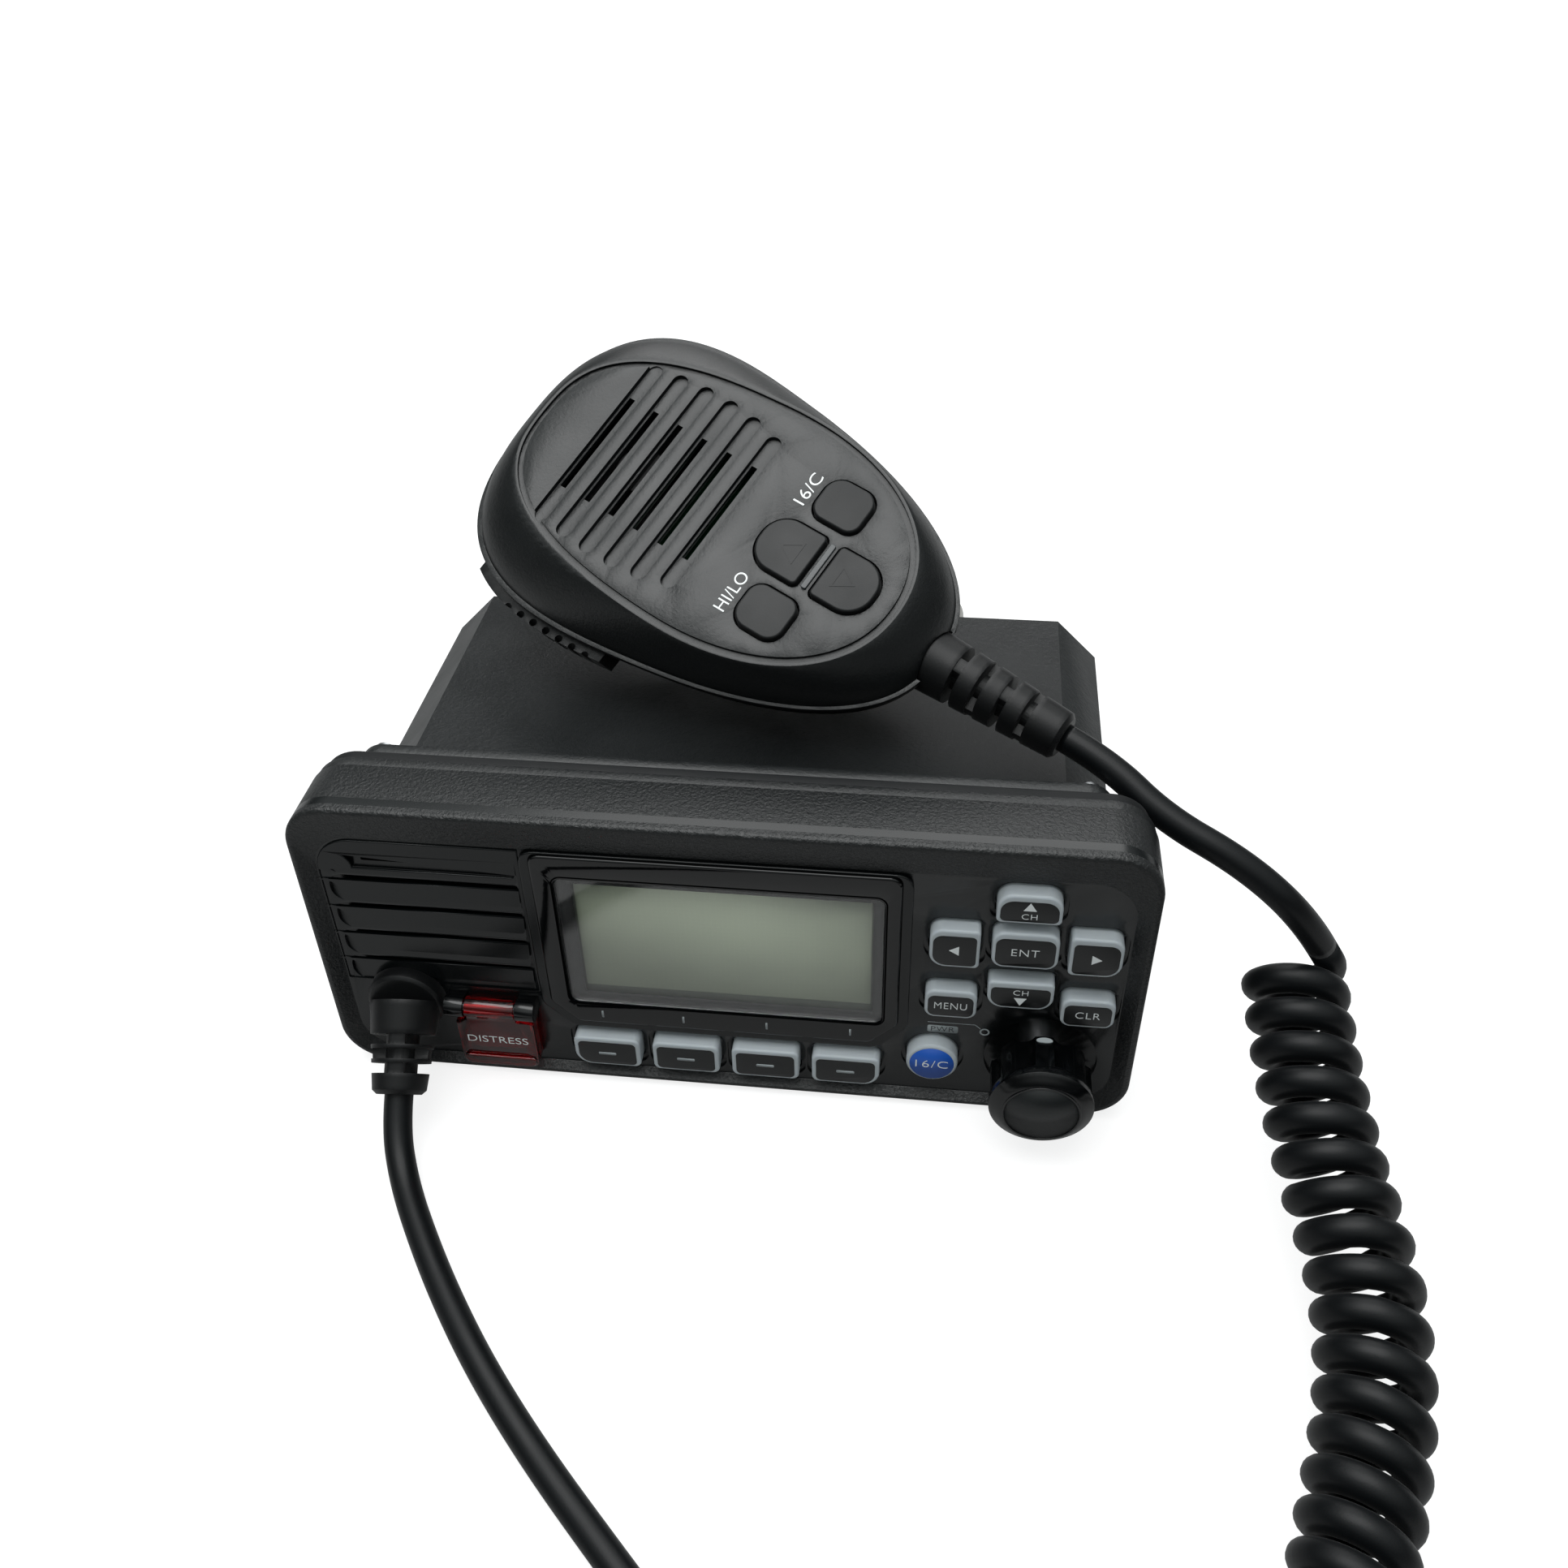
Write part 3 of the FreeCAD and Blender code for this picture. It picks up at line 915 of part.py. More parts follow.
# Talk key: a curved bar that follows the flank, with finger ribs
talk_outer = lofted([(blended(1.0, -2.6, 0.955), SEAM_Z - 8.6), (blended(1.0, -2.2), SEAM_Z - 1.6)])
talk_inner = lofted([(blended(1.0, 3.0, 0.955), SEAM_Z - 8.7), (blended(1.0, 3.4), SEAM_Z - 1.5)])
talk_bar = shaped("talk_bar", talk_outer.cut(talk_inner))
talk_span = box("talk_span", ("-45", "-12"), TALK_Y, TALK_Z)
talk_blank = common("talk_blank", talk_bar, talk_span)
TALK_RIBS = 9
rib_cuts = [rod(f"talk_rib_{i}", "0.8", "12", placed("-35.2", f"{TALK_Y[0]} + 3.4 + 3.35 * {i}", f"{TALK_Z[0]} - 2", UPRIGHT))
            for i in range(TALK_RIBS - 2)]
node("mic_talk_key", cut("talk_whole", talk_blank, *rib_cuts), placement=MIC)

for key_name in MIC_KEYS:
    mic_cap = mic_plate(f"{key_name}_cap", key_name, "0", "-3.2", "0.8")
    soften(mic_cap, "0.5", lambda e: abs(e.BoundBox.ZMin - 0.8) < 1e-4)
    mic_brim = mic_plate(f"{key_name}_brim", key_name, "0.75", "-3.9", "-3.1")
    key_x, key_low, key_high = MIC_KEYS[key_name][:3]
    mic_stem = rod(f"{key_name}_stem", "1.6", f"{MIC_BOARD} - 3.5 - mic_push - 0.2",
                   placed(key_x, f"(({key_low}) + ({key_high})) / 2", f"-{MIC_BOARD} + mic_push + 0.2", UPRIGHT))
    node(key_name, fuse(f"{key_name}_whole", mic_cap, mic_brim, mic_stem), placement=MIC)

# Inside the microphone: board, capsule, hanger stud and screws
mic_board_plate = slab("mic_board_plate", ("-18", "18"), ("-28", "18"), ("0", "board_thick"), "4")
put(mic_board_plate, placed("0", "0", f"-{MIC_BOARD}", FreeCAD.Rotation(X_AXIS, -90)))
capsule = rod("capsule_can", "4.8", "4", placed("0", "24", "-6.5", UPRIGHT))
node("mic_board", mic_board_plate, placement=MIC)
node("mic_capsule", capsule, placement=MIC)
stud_points = [("0", "0"), ("stud_radius", "0"), ("stud_radius", "1.8"), ("5", "2.8"), ("4.4", "6"), ("0", "6")]
STUD_Y = "14"
node("mic_hanger", turned("stud_turned", stud_points, placed("0", STUD_Y, f"{BACK_Z - 6:.4f}", UPRIGHT)), placement=MIC)

mic_boot_part = boot("mic_boot_part", 6.3, 4.7, 29.5, 4, 1.7, 6.2,
                     FreeCAD.Placement(VECTOR(0, -43.5, BOOT_Z), FreeCAD.Rotation(X_AXIS, 90)))
node("mic_boot", mic_boot_part, placement=MIC)
MIC_BOOT_END = MIC.multVec(VECTOR(0, -73.0, BOOT_Z))
MIC_DOWN = MIC.Rotation.multVec(VECTOR(0, -1, 0))


# Cords. Route points are in the resting frame, where the floor is Z = 0.
CORD = number("cord")


def rest(x, y, z):
    """A point measured with the rest frame's zero at the case's rear bottom edge."""
    return VECTOR(x, y, z)


def tube(name, points, radius):
    """Straight runs joined by tangent arcs, as large as the runs allow, and the tube along them."""
    edges = []
    radii = []
    start = points[0]
    for before, corner, after in zip(points, points[1:], points[2:]):
        into, out = corner - before, after - corner
        turn = into.getAngle(out)
        bend = 0.45 * min(into.Length, out.Length) / math.tan(turn / 2)
        reach = bend * math.tan(turn / 2)
        radii.append(bend)
        into.normalize()
        out.normalize()
        first, last = corner - into * reach, corner + out * reach
        inward = out - into
        inward.normalize()
        middle = corner + inward * (bend / math.cos(turn / 2) - bend)
        edges.append(Part.LineSegment(start, first).toShape())
        edges.append(Part.Arc(first, middle, last).toShape())
        start = last
    edges.append(Part.LineSegment(start, points[-1]).toShape())
    wire = Part.Wire(edges)
    section = Part.Wire([Part.Circle(points[0], points[1] - points[0], radius).toShape()])
    solid = wire.makePipeShell([section], True, False)
    expected = math.pi * radius ** 2 * wire.Length
    print(f"{name}: length {wire.Length:.1f}, radii {[round(r, 1) for r in radii]}, "
          f"volume {solid.Volume:.1f} of {expected:.1f}")
    node(name, shaped(name + "_tube", solid), placement=FreeCAD.Placement())
    return wire


# Axis of the curly length: a smooth curve that starts in the air beside the radio and lies down on the floor
CURL_RADIUS = (number("curl_outside") - CORD) / 2
FLOOR_AXIS = number("curl_outside") / 2 + 0.2
AXIS_POLES = [rest(106.2, 2.9, 31.1), rest(107.1, -22, 23.2), rest(116.3, -59.8, 14.3), rest(105.6, -98.7, FLOOR_AXIS),
              rest(91, -140.5, FLOOR_AXIS), rest(61, -160.5, FLOOR_AXIS), rest(27, -160.5, FLOOR_AXIS)]
axis_curve = Part.BSplineCurve()
axis_curve.buildFromPolesMultsKnots(AXIS_POLES, [3, 1, 1, 1, 1, 3], [0, 1, 2, 3, 4, 5], False, 2)
CURL_START = math.radians(40)
CURL_END = math.radians(180)
STEPS = 1500


def curl_turns():
    """Angle of the helix along the axis: curls open a little where the axis bends."""
    low, high = axis_curve.FirstParameter, axis_curve.LastParameter
    marks = [low + (high - low) * i / STEPS for i in range(STEPS + 1)]
    angles = [0.0]
    for a, b in zip(marks, marks[1:]):
        middle = (a + b) / 2
        bend = axis_curve.curvature(middle)
        pitch = (CORD + number("curl_gap")) / (1 - 1.05 * CURL_RADIUS * bend)
        angles.append(angles[-1] + 2 * math.pi * (axis_curve.value(b) - axis_curve.value(a)).Length / pitch)
    whole = math.floor((angles[-1] + CURL_START - CURL_END) / (2 * math.pi))
    total = CURL_END - CURL_START + 2 * math.pi * whole
    return marks, [angle * total / angles[-1] for angle in angles], total


MARKS, ANGLES, TOTAL_TURN = curl_turns()


def on_helix(angle):
    """Point and direction of the wire's centre after this much turning."""
    angle = min(max(angle, 0.0), TOTAL_TURN)
    low, high = 0, STEPS
    while high - low > 1:
        half = (low + high) // 2
        low, high = (half, high) if ANGLES[half] <= angle else (low, half)
    share = (angle - ANGLES[low]) / (ANGLES[high] - ANGLES[low])
    mark = MARKS[low] + (MARKS[high] - MARKS[low]) * share
    centre = axis_curve.value(mark)
    along = axis_curve.tangent(mark)[0]
    right = Z_AXIS.cross(along)
    right.normalize()
    up = along.cross(right)
    phase = CURL_START + angle
    spot = centre + (right * math.sin(phase) + up * math.cos(phase)) * CURL_RADIUS
    speed = (axis_curve.value(MARKS[high]) - axis_curve.value(MARKS[low])).Length / (ANGLES[high] - ANGLES[low])
    heading = (right * math.cos(phase) - up * math.sin(phase)) * CURL_RADIUS + along * speed
    heading.normalize()
    return spot, heading


def arc_from(start, heading, end):
    """The arc that leaves start along heading and reaches end."""
    chord = end - start
    angle = heading.getAngle(chord)
    if angle < 1e-5:
        return Part.LineSegment(start, end)
    side = heading - chord * (heading.dot(chord) / chord.dot(chord))
    side.normalize()
    middle = start + chord * 0.5 + side * (chord.Length / 2 * math.tan(angle / 2))
    return Part.Arc(start, middle, end)


def biarc(start, heading, end, arrival):
    """Two tangent arcs between two points with given directions."""
    gap = end - start
    both = heading + arrival
    a = 2 * (1 - heading.dot(arrival))
    b = 2 * gap.dot(both)
    c = -gap.dot(gap)
    reach = -c / b if abs(a) < 1e-9 else (-b + math.sqrt(b * b - 4 * a * c)) / (2 * a)
    joint = (start + heading * reach + end - arrival * reach) * 0.5
    first = arc_from(start, heading, joint)
    back = arc_from(end, arrival * -1, joint)
    return [first, back]


def curly():
    """The curly length: straight ends, and biarcs of half a turn between them."""
    count = round(TOTAL_TURN / math.pi)
    spots = [on_helix(TOTAL_TURN * i / count) for i in range(count + 1)]
    first, last = spots[0], spots[-1]
    entry = first[0] - first[1] * CORD
    leaving = last[0] + last[1] * CORD
    curves = [Part.LineSegment(entry, first[0])]
    for (a, heading), (b, arrival) in zip(spots, spots[1:]):
        curves += biarc(a, heading, b, arrival)
    curves.append(Part.LineSegment(last[0], leaving))
    wire = Part.Wire(Part.__sortEdges__([curve.toShape() for curve in curves]))
    return wire, entry, first[1], leaving, last[1], count


def least_gap(wire):
    """Least free gap between two curls, on points along the wire more than half a curl apart."""
    spots = wire.discretize(Distance=1.6)
    apart = int(math.pi * CURL_RADIUS / 1.6)
    least = 1e9
    for i, spot in enumerate(spots):
        for other in spots[i + apart:i + 6 * apart]:
            least = min(least, (spot - other).Length)
    return least - CORD


CURL_SIDES = 8
curl_wire, CURL_IN, CURL_IN_WAY, CURL_OUT, CURL_OUT_WAY, half_turns = curly()
flat = math.cos(math.pi / CURL_SIDES)
across = CURL_IN_WAY.cross(Z_AXIS)
across.normalize()
upward = across.cross(CURL_IN_WAY)
section_points = []
for index in range(CURL_SIDES + 1):
    angle = 2 * math.pi * (index % CURL_SIDES + 0.5) / CURL_SIDES
    section_points.append(CURL_IN + (across * math.cos(angle) + upward * math.sin(angle)) * (CORD / 2))
curl_section = Part.makePolygon(section_points)
curl_solid = curl_wire.makePipeShell([curl_section], True, False)
print(f"curly_cord: entry {tuple(round(v, 1) for v in CURL_IN)} heading {tuple(round(v, 2) for v in CURL_IN_WAY)}")
print(f"curly_cord: {half_turns / 2:.1f} turns, wire length {curl_wire.Length:.1f}, "
      f"least gap {least_gap(curl_wire):.2f}, volume {curl_solid.Volume:.1f} of "
      f"{curl_wire.Length * CURL_SIDES / 2 * (CORD / 2) ** 2 * math.sin(2 * math.pi / CURL_SIDES):.1f}")
node("curly_cord", shaped("curly_cord_tube", curl_solid), placement=FreeCAD.Placement())

LEAD_POINTS = [MIC_BOOT_END, MIC_BOOT_END + MIC_DOWN * 9.5, rest(78.1, 17.3, 57.6), rest(84.6, 13.4, 55.2),
               rest(92.2, 4.2, 51.6), CURL_IN - CURL_IN_WAY * 9.3, CURL_IN]
tube("mic_lead", LEAD_POINTS, CORD / 2)
FLOOR_LEAD = CORD / 2 + 0.1
RADIO_BOOT_END = REST.multVec(BOOT_END)
RADIO_BOOT_WAY = RADIO_BOOT_END - REST.multVec(BOOT_ROOT)
RADIO_BOOT_WAY.normalize()
RADIO_LEAD_POINTS = [RADIO_BOOT_END, RADIO_BOOT_END + RADIO_BOOT_WAY * 6.5, rest(-58.2, -40, 3.1),
                     rest(-52.7, -49.4, FLOOR_LEAD), rest(-43.6, -62.6, FLOOR_LEAD), rest(-33, -75.8, FLOOR_LEAD),
                     rest(-20.1, -89.3, FLOOR_LEAD), rest(-4.6, -103.6, FLOOR_LEAD), rest(8.5, -115.5, FLOOR_LEAD),
                     rest(20.3, -129.4, FLOOR_LEAD), rest(24.7, -137.6, FLOOR_LEAD), CURL_OUT + CURL_OUT_WAY * 8.5, CURL_OUT]
tube("radio_lead", RADIO_LEAD_POINTS, CORD / 2)

doc.recompute()

# The origin goes to the middle of the footprint of the radio with its microphone, without the cords
CORDS = ("mic_lead", "curly_cord", "radio_lead")
boxes = [item.Shape.optimalBoundingBox() for name, item in NODES.items() if name not in CORDS]
middle = VECTOR((min(b.XMin for b in boxes) + max(b.XMax for b in boxes)) / 2,
                (min(b.YMin for b in boxes) + max(b.YMax for b in boxes)) / 2, 0)
for item in NODES.values():
    item.Placement = FreeCAD.Placement(middle * -1, FreeCAD.Rotation()).multiply(item.Placement)
doc.recompute()
print(f"origin at {middle.x:.3f}, {middle.y:.3f} from the case's rear bottom edge")

failed = [item.Name for item in doc.Objects if "Invalid" in item.State or "Error" in item.State]
if failed:
    raise RuntimeError(f"failed objects: {failed}")
os.makedirs("parts", exist_ok=True)
for name, item in NODES.items():
    shape = item.Shape
    if shape.isNull() or not shape.isValid() or not shape.Solids:
        raise RuntimeError(f"{name} has no valid solid")
    shape.exportStep(os.path.join("parts", name + ".step"))
print(f"{len(NODES)} nodes, lowest {min(item.Shape.BoundBox.ZMin for item in NODES.values()):.3f}")
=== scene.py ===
import json
import logging
import math
from dataclasses import dataclass
from enum import Enum
from typing import Any, Mapping, Optional, Sequence, Union

import bmesh
import bpy
from mathutils import Matrix, Vector

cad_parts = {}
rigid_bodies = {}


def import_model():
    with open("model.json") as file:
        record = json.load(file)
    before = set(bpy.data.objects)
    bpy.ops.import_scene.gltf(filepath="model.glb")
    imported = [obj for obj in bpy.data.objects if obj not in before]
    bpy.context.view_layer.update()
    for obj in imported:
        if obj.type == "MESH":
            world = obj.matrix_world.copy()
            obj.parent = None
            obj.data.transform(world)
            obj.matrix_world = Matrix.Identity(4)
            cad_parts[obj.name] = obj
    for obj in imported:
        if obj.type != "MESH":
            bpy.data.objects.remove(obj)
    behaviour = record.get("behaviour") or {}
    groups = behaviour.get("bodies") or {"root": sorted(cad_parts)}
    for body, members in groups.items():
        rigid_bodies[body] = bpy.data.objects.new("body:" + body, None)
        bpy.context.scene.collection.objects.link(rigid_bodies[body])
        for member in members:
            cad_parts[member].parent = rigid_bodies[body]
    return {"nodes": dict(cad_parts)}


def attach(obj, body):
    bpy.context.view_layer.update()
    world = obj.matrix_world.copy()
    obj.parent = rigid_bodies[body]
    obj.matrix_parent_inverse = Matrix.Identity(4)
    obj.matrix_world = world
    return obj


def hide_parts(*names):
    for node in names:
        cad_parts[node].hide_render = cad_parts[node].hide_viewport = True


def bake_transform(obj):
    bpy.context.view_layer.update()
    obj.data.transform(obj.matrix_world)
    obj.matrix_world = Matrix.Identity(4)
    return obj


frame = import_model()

LOG = logging.getLogger("marine_radio")
MM = 0.001
Tree = bpy.types.NodeTree
Node = bpy.types.Node
Mesh = bpy.types.Mesh
Point = tuple[float, float]
Spot = tuple[float, float, float]
Box = tuple[float, float, float, float]  # left, right, low, high
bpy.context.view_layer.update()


class Body(str, Enum):
    """The moving bodies that pieces ride on, beside the keys, which carry their own names."""

    RADIO = "radio"
    MICROPHONE = "microphone"
    KNOB = "knob"
    COVER = "distress_cover"


class Side(Enum):
    """Which rigid unit a piece is drawn on."""

    RADIO = "radio"
    MICROPHONE = "microphone"


class Way(Enum):
    """Which way a printed triangle points, as its turn in degrees."""

    UP = 0.0
    LEFT = 90.0
    DOWN = 180.0
    RIGHT = 270.0


# Placement of the two rigid units, in millimetres and degrees

CASE_DEPTH = 13.3
CASE_DROP = 6.5  # how far the front case hangs below the chassis
CHASSIS_BACK = 84.0  # rear edge of the chassis behind the case's front
FOOTPRINT_MIDDLE = 36.309  # middle of the footprint in front of the case's rear bottom edge
MIC_SPOT = (-2.4, 57.4, 96.0)
MIC_HEADING, MIC_PITCH, MIC_ROLL = 62.1, 13.3, -30.4


def turned(degrees: float, axis: str) -> Matrix:
    """A turn about an axis through the origin."""
    return Matrix.Rotation(math.radians(degrees), 4, axis)


LEAN = math.atan2(CASE_DROP, CHASSIS_BACK - CASE_DEPTH)
REST = (Matrix.Translation((0.0, -FOOTPRINT_MIDDLE, 0.0)) @ Matrix.Rotation(-LEAN, 4, "X")
        @ Matrix.Translation((0.0, -CASE_DEPTH, 0.0)))
MIC_POSE = (REST @ Matrix.Translation(MIC_SPOT) @ turned(MIC_HEADING, "Z") @ turned(MIC_PITCH, "X")
            @ turned(MIC_ROLL, "Y"))
METRES = Matrix.Scale(MM, 4)
# A unit drawn with X across, Y up its face and Z out of its face
FACES = {Side.RADIO: METRES @ REST @ turned(90.0, "X"), Side.MICROPHONE: METRES @ MIC_POSE}


def floor_spot(x: float, y: float, z: float) -> Vector:
    """Turns a cord point, measured from the case's rear bottom edge in millimetres, into the shared frame.

    Args:
        x: Millimetres to the right.
        y: Millimetres to the back.
        z: Millimetres above the floor.

    Returns:
        The point in metres.
    """
    return Vector((x, y - FOOTPRINT_MIDDLE, z)) * MM


# Colour and node helpers


def linear(code: str) -> tuple[float, float, float, float]:
    """Turns an sRGB hex colour into the linear colour that shaders take.

    Args:
        code: Colour such as "1b1d1f".

    Returns:
        Linear red, green, blue and an alpha of 1.
    """
    shares = [int(code[i:i + 2], 16) / 255.0 for i in (0, 2, 4)]
    red, green, blue = (s / 12.92 if s <= 0.04045 else ((s + 0.055) / 1.055) ** 2.4 for s in shares)
    return red, green, blue, 1.0


def add(tree: Tree, kind: str, inputs: Optional[Mapping[Any, Any]] = None, **settings: Any) -> Any:
    """Adds a node with its settings and links.

    Args:
        tree: Node tree of the material.
        kind: Type of shader node, such as "TexNoise".
        inputs: Input name or number to a value, or to the node or output socket that feeds it.
        **settings: Properties of the node itself.

    Returns:
        The new node.
    """
    node = tree.nodes.new("ShaderNode" + kind)
    for name, value in settings.items():
        setattr(node, name, value)
    for name, value in (inputs or {}).items():
        value = value.outputs[0] if isinstance(value, Node) else value
        if isinstance(value, bpy.types.NodeSocket):
            tree.links.new(value, node.inputs[name])
        else:
            node.inputs[name].default_value = value
    return node


@dataclass(frozen=True)
class Finish:
    """A real material with its surface, from which one shader is made."""

    title: str
    colour: str
    roughness: float
    ior: float = 1.5
    metallic: float = 0.0
    mirror: float = 0.5

    def material(self) -> bpy.types.Material:
        """Makes the material, or returns it where it was made before."""
        made = bpy.data.materials.get(self.title)
        if made:
            return made
        made = bpy.data.materials.new(self.title)
        made.use_nodes = True
        tree = made.node_tree
        tree.nodes.clear()
        shader = add(tree, "BsdfPrincipled", {
            "Base Color": linear(self.colour), "Roughness": self.roughness, "Metallic": self.metallic,
            "IOR": self.ior, "Specular IOR Level": self.mirror})
        self.dress(tree, shader)
        add(tree, "OutputMaterial", {"Surface": shader})
        made.diffuse_color = linear(self.colour)
        return made

    def millimetres(self, tree: Tree) -> bpy.types.NodeSocket:
        """Coordinates of the rigid unit in millimetres, so that patterns keep their real size on it."""
        place = add(tree, "TexCoord").outputs["Object"]
        return add(tree, "VectorMath", {0: place, "Scale": 1000.0}, operation="SCALE").outputs[0]

    def grain(self, tree: Tree, shader: Node, size: float, height: float,
              tone: float = 0.0, wear: float = 0.0) -> None:
        """Gives the surface an even grain, with small changes of tone and gloss over 14 mm.

        Args:
            tree: Node tree of the material.
            shader: The surface shader.
            size: Width of one grain in millimetres.
            height: Depth of the grain in millimetres.
            tone: How much lighter and darker the colour gets, as a share.
            wear: How much the roughness changes.
        """
        place = self.millimetres(tree)
        fine = add(tree, "TexNoise", {"Vector": place, "Scale": 1.0 / size, "Detail": 3.0,
                                                "Roughness": 0.6, "Distortion": 0.4})
        broad = add(tree, "TexNoise", {"Vector": place, "Scale": 1.0 / 14.0, "Detail": 4.0,
                                                 "Roughness": 0.55})
        bump = add(tree, "Bump", {"Strength": 1.0, "Distance": height * MM, "Height": fine.outputs["Fac"]})
        tree.links.new(bump.outputs[0], shader.inputs["Normal"])
        if tone:
            ramp = add(tree, "ValToRGB", {"Fac": broad.outputs["Fac"]})
            for stop, place, share in zip(ramp.color_ramp.elements, (0.3, 0.7), (1.0 - tone, 1.0 + tone)):
                stop.position = place
                stop.color = tuple(c * share for c in linear(self.colour)[:3]) + (1.0,)
            tree.links.new(ramp.outputs[0], shader.inputs["Base Color"])
        if wear:
            spread = add(tree, "MapRange", {
                "Value": broad.outputs["Fac"], "From Min": 0.3, "From Max": 0.7,
                "To Min": self.roughness - wear, "To Max": self.roughness + wear})
            tree.links.new(spread.outputs[0], shader.inputs["Roughness"])

    def dress(self, tree: Tree, shader: Node) -> None:
        """Adds the pattern of a plain moulded or printed surface: barely visible flow marks."""
        self.grain(tree, shader, 0.9, 0.004, tone=0.05, wear=0.03)


@dataclass(frozen=True)
class SparkedABS(Finish):
    """ABS moulded in a spark-eroded tool: a fine grain that breaks highlights into a soft sheen.

    The real grain is about 0.2 mm wide. It is drawn 0.7 to 0.8 mm wide on the case, so that it shows.
    """

    grain_width: float = 0.8
    grain_depth: float = 0.16

    def dress(self, tree: Tree, shader: Node) -> None:
        """Adds the eroded grain."""
        self.grain(tree, shader, self.grain_width, self.grain_depth, tone=0.12, wear=0.05)


@dataclass(frozen=True)
class CaseABS(SparkedABS):
    """The front case: grained rim and sides round a smooth, glossier recessed panel, moulded in one."""

    panel_roughness: float = 0.24
    panel_front: float = 1.93  # the recessed panel lies between these depths behind the case's front
    panel_settled: float = 1.985
    panel_back: float = 3.9

    def dress(self, tree: Tree, shader: Node) -> None:
        """Adds the grain outside the recessed panel and polishes what lies inside it."""
        self.grain(tree, shader, self.grain_width, self.grain_depth, tone=0.1)
        bump = next(n for n in tree.nodes if n.bl_idname == "ShaderNodeBump")
        place = add(tree, "TexCoord").outputs["Object"]
        level = (METRES @ REST).inverted()
        local = add(tree, "Mapping", {"Vector": place, "Location": level.to_translation(),
                                                "Rotation": level.to_euler(), "Scale": (1000.0, 1000.0, 1000.0)})
        depth = add(tree, "SeparateXYZ", {0: local}).outputs["Y"]
        inside = add(tree, "MapRange", {"Value": depth, "From Min": self.panel_front,
                                                  "From Max": self.panel_settled})
        ahead = add(tree, "Math", {0: depth, 1: self.panel_back}, operation="LESS_THAN")
        smooth = add(tree, "Math", {0: inside, 1: ahead}, operation="MULTIPLY")
        rough = add(tree, "MapRange", {"Value": smooth, "To Min": self.roughness,
                                                 "To Max": self.panel_roughness})
        strength = add(tree, "MapRange", {"Value": smooth, "To Min": 1.0, "To Max": 0.04})
        tree.links.new(rough.outputs[0], shader.inputs["Roughness"])
        tree.links.new(strength.outputs[0], bump.inputs["Strength"])


@dataclass(frozen=True)
class PowderCoat(Finish):
    """Powder coat on a die casting: fine pebbles, a little uneven in gloss."""

    def dress(self, tree: Tree, shader: Node) -> None:
        """Adds the pebbled surface of baked powder."""
        self.grain(tree, shader, 0.9, 0.12, tone=0.1, wear=0.06)


@dataclass(frozen=True)
class MouldedRubber(Finish):
    """Moulded elastomer: an even matte skin with faint cloudy marks."""

    def dress(self, tree: Tree, shader: Node) -> None:
        """Adds the dull skin and a soft sheen at its edges."""
        self.grain(tree, shader, 0.4, 0.015, tone=0.14, wear=0.05)
        shader.inputs["Sheen Weight"].default_value = 0.06
        shader.inputs["Sheen Roughness"].default_value = 0.4


@dataclass(frozen=True)
class Silicone(Finish):
    """Translucent silicone rubber: light soaks in 1.2 mm, so the sides of the keys look milky."""

    def dress(self, tree: Tree, shader: Node) -> None:
        """Adds the soaked-in light of the rubber and its fine matte skin."""
        shader.inputs["Subsurface Weight"].default_value = 0.5
        shader.inputs["Subsurface Radius"].default_value = (0.0012, 0.0012, 0.0014)
        shader.inputs["Subsurface Scale"].default_value = 1.0
        self.grain(tree, shader, 0.3, 0.006, tone=0.03, wear=0.03)


@dataclass(frozen=True)
class ClearPlastic(Finish):
    """Clear moulded plastic, tinted or not: it shows what lies behind and mirrors its surroundings."""

    def dress(self, tree: Tree, shader: Node) -> None:
        """Lets light through and adds the faint waves of moulding."""
        shader.inputs["Transmission Weight"].default_value = 1.0
        self.grain(tree, shader, 4.0, 0.002)


@dataclass(frozen=True)
class Metal(Finish):
    """Bare or plated metal with fine turning marks."""

    def dress(self, tree: Tree, shader: Node) -> None:
        """Adds the fine marks of machining and handling."""
        self.grain(tree, shader, 0.25, 0.004, tone=0.08, wear=0.08)


@dataclass(frozen=True)
class CrystalFilm(Finish):
    """Reflective liquid crystal panel at rest: an even grey-green film over a fine dot grid."""

    dot: float = 0.5
    gap_share: float = 0.12
    cloud: float = 30.0

    def dress(self, tree: Tree, shader: Node) -> None:
        """Adds the grid of unlit dots, barely lighter than the film, and its slow changes of tone."""
        place = self.millimetres(tree)
        level = add(tree, "VectorRotate", {"Vector": place, "Angle": LEAN}, rotation_type="X_AXIS")
        parts = add(tree, "SeparateXYZ", {0: level})
        lines = []
        for axis in ("X", "Z"):
            cell = add(tree, "Math", {0: parts.outputs[axis], 1: self.dot}, operation="PINGPONG")
            lines.append(add(tree, "Math", {0: cell, 1: self.dot * self.gap_share},
                             operation="LESS_THAN"))
        grid = add(tree, "Math", {0: lines[0], 1: lines[1]}, operation="MAXIMUM")
        cloud = add(tree, "TexNoise", {"Vector": place, "Scale": 1.0 / self.cloud, "Detail": 2.0})
        fade = add(tree, "MapRange", {"Value": cloud.outputs["Fac"], "From Min": 0.3, "From Max": 0.7,
                                                "To Min": 0.92, "To Max": 1.04})
        dots = add(tree, "MapRange", {"Value": grid, "To Min": 1.0, "To Max": 1.03})
        both = add(tree, "Math", {0: fade, 1: dots}, operation="MULTIPLY")
        tinted = add(tree, "VectorMath", {0: linear(self.colour)[:3], "Scale": both},
                     operation="SCALE")
        tree.links.new(tinted.outputs[0], shader.inputs["Base Color"])


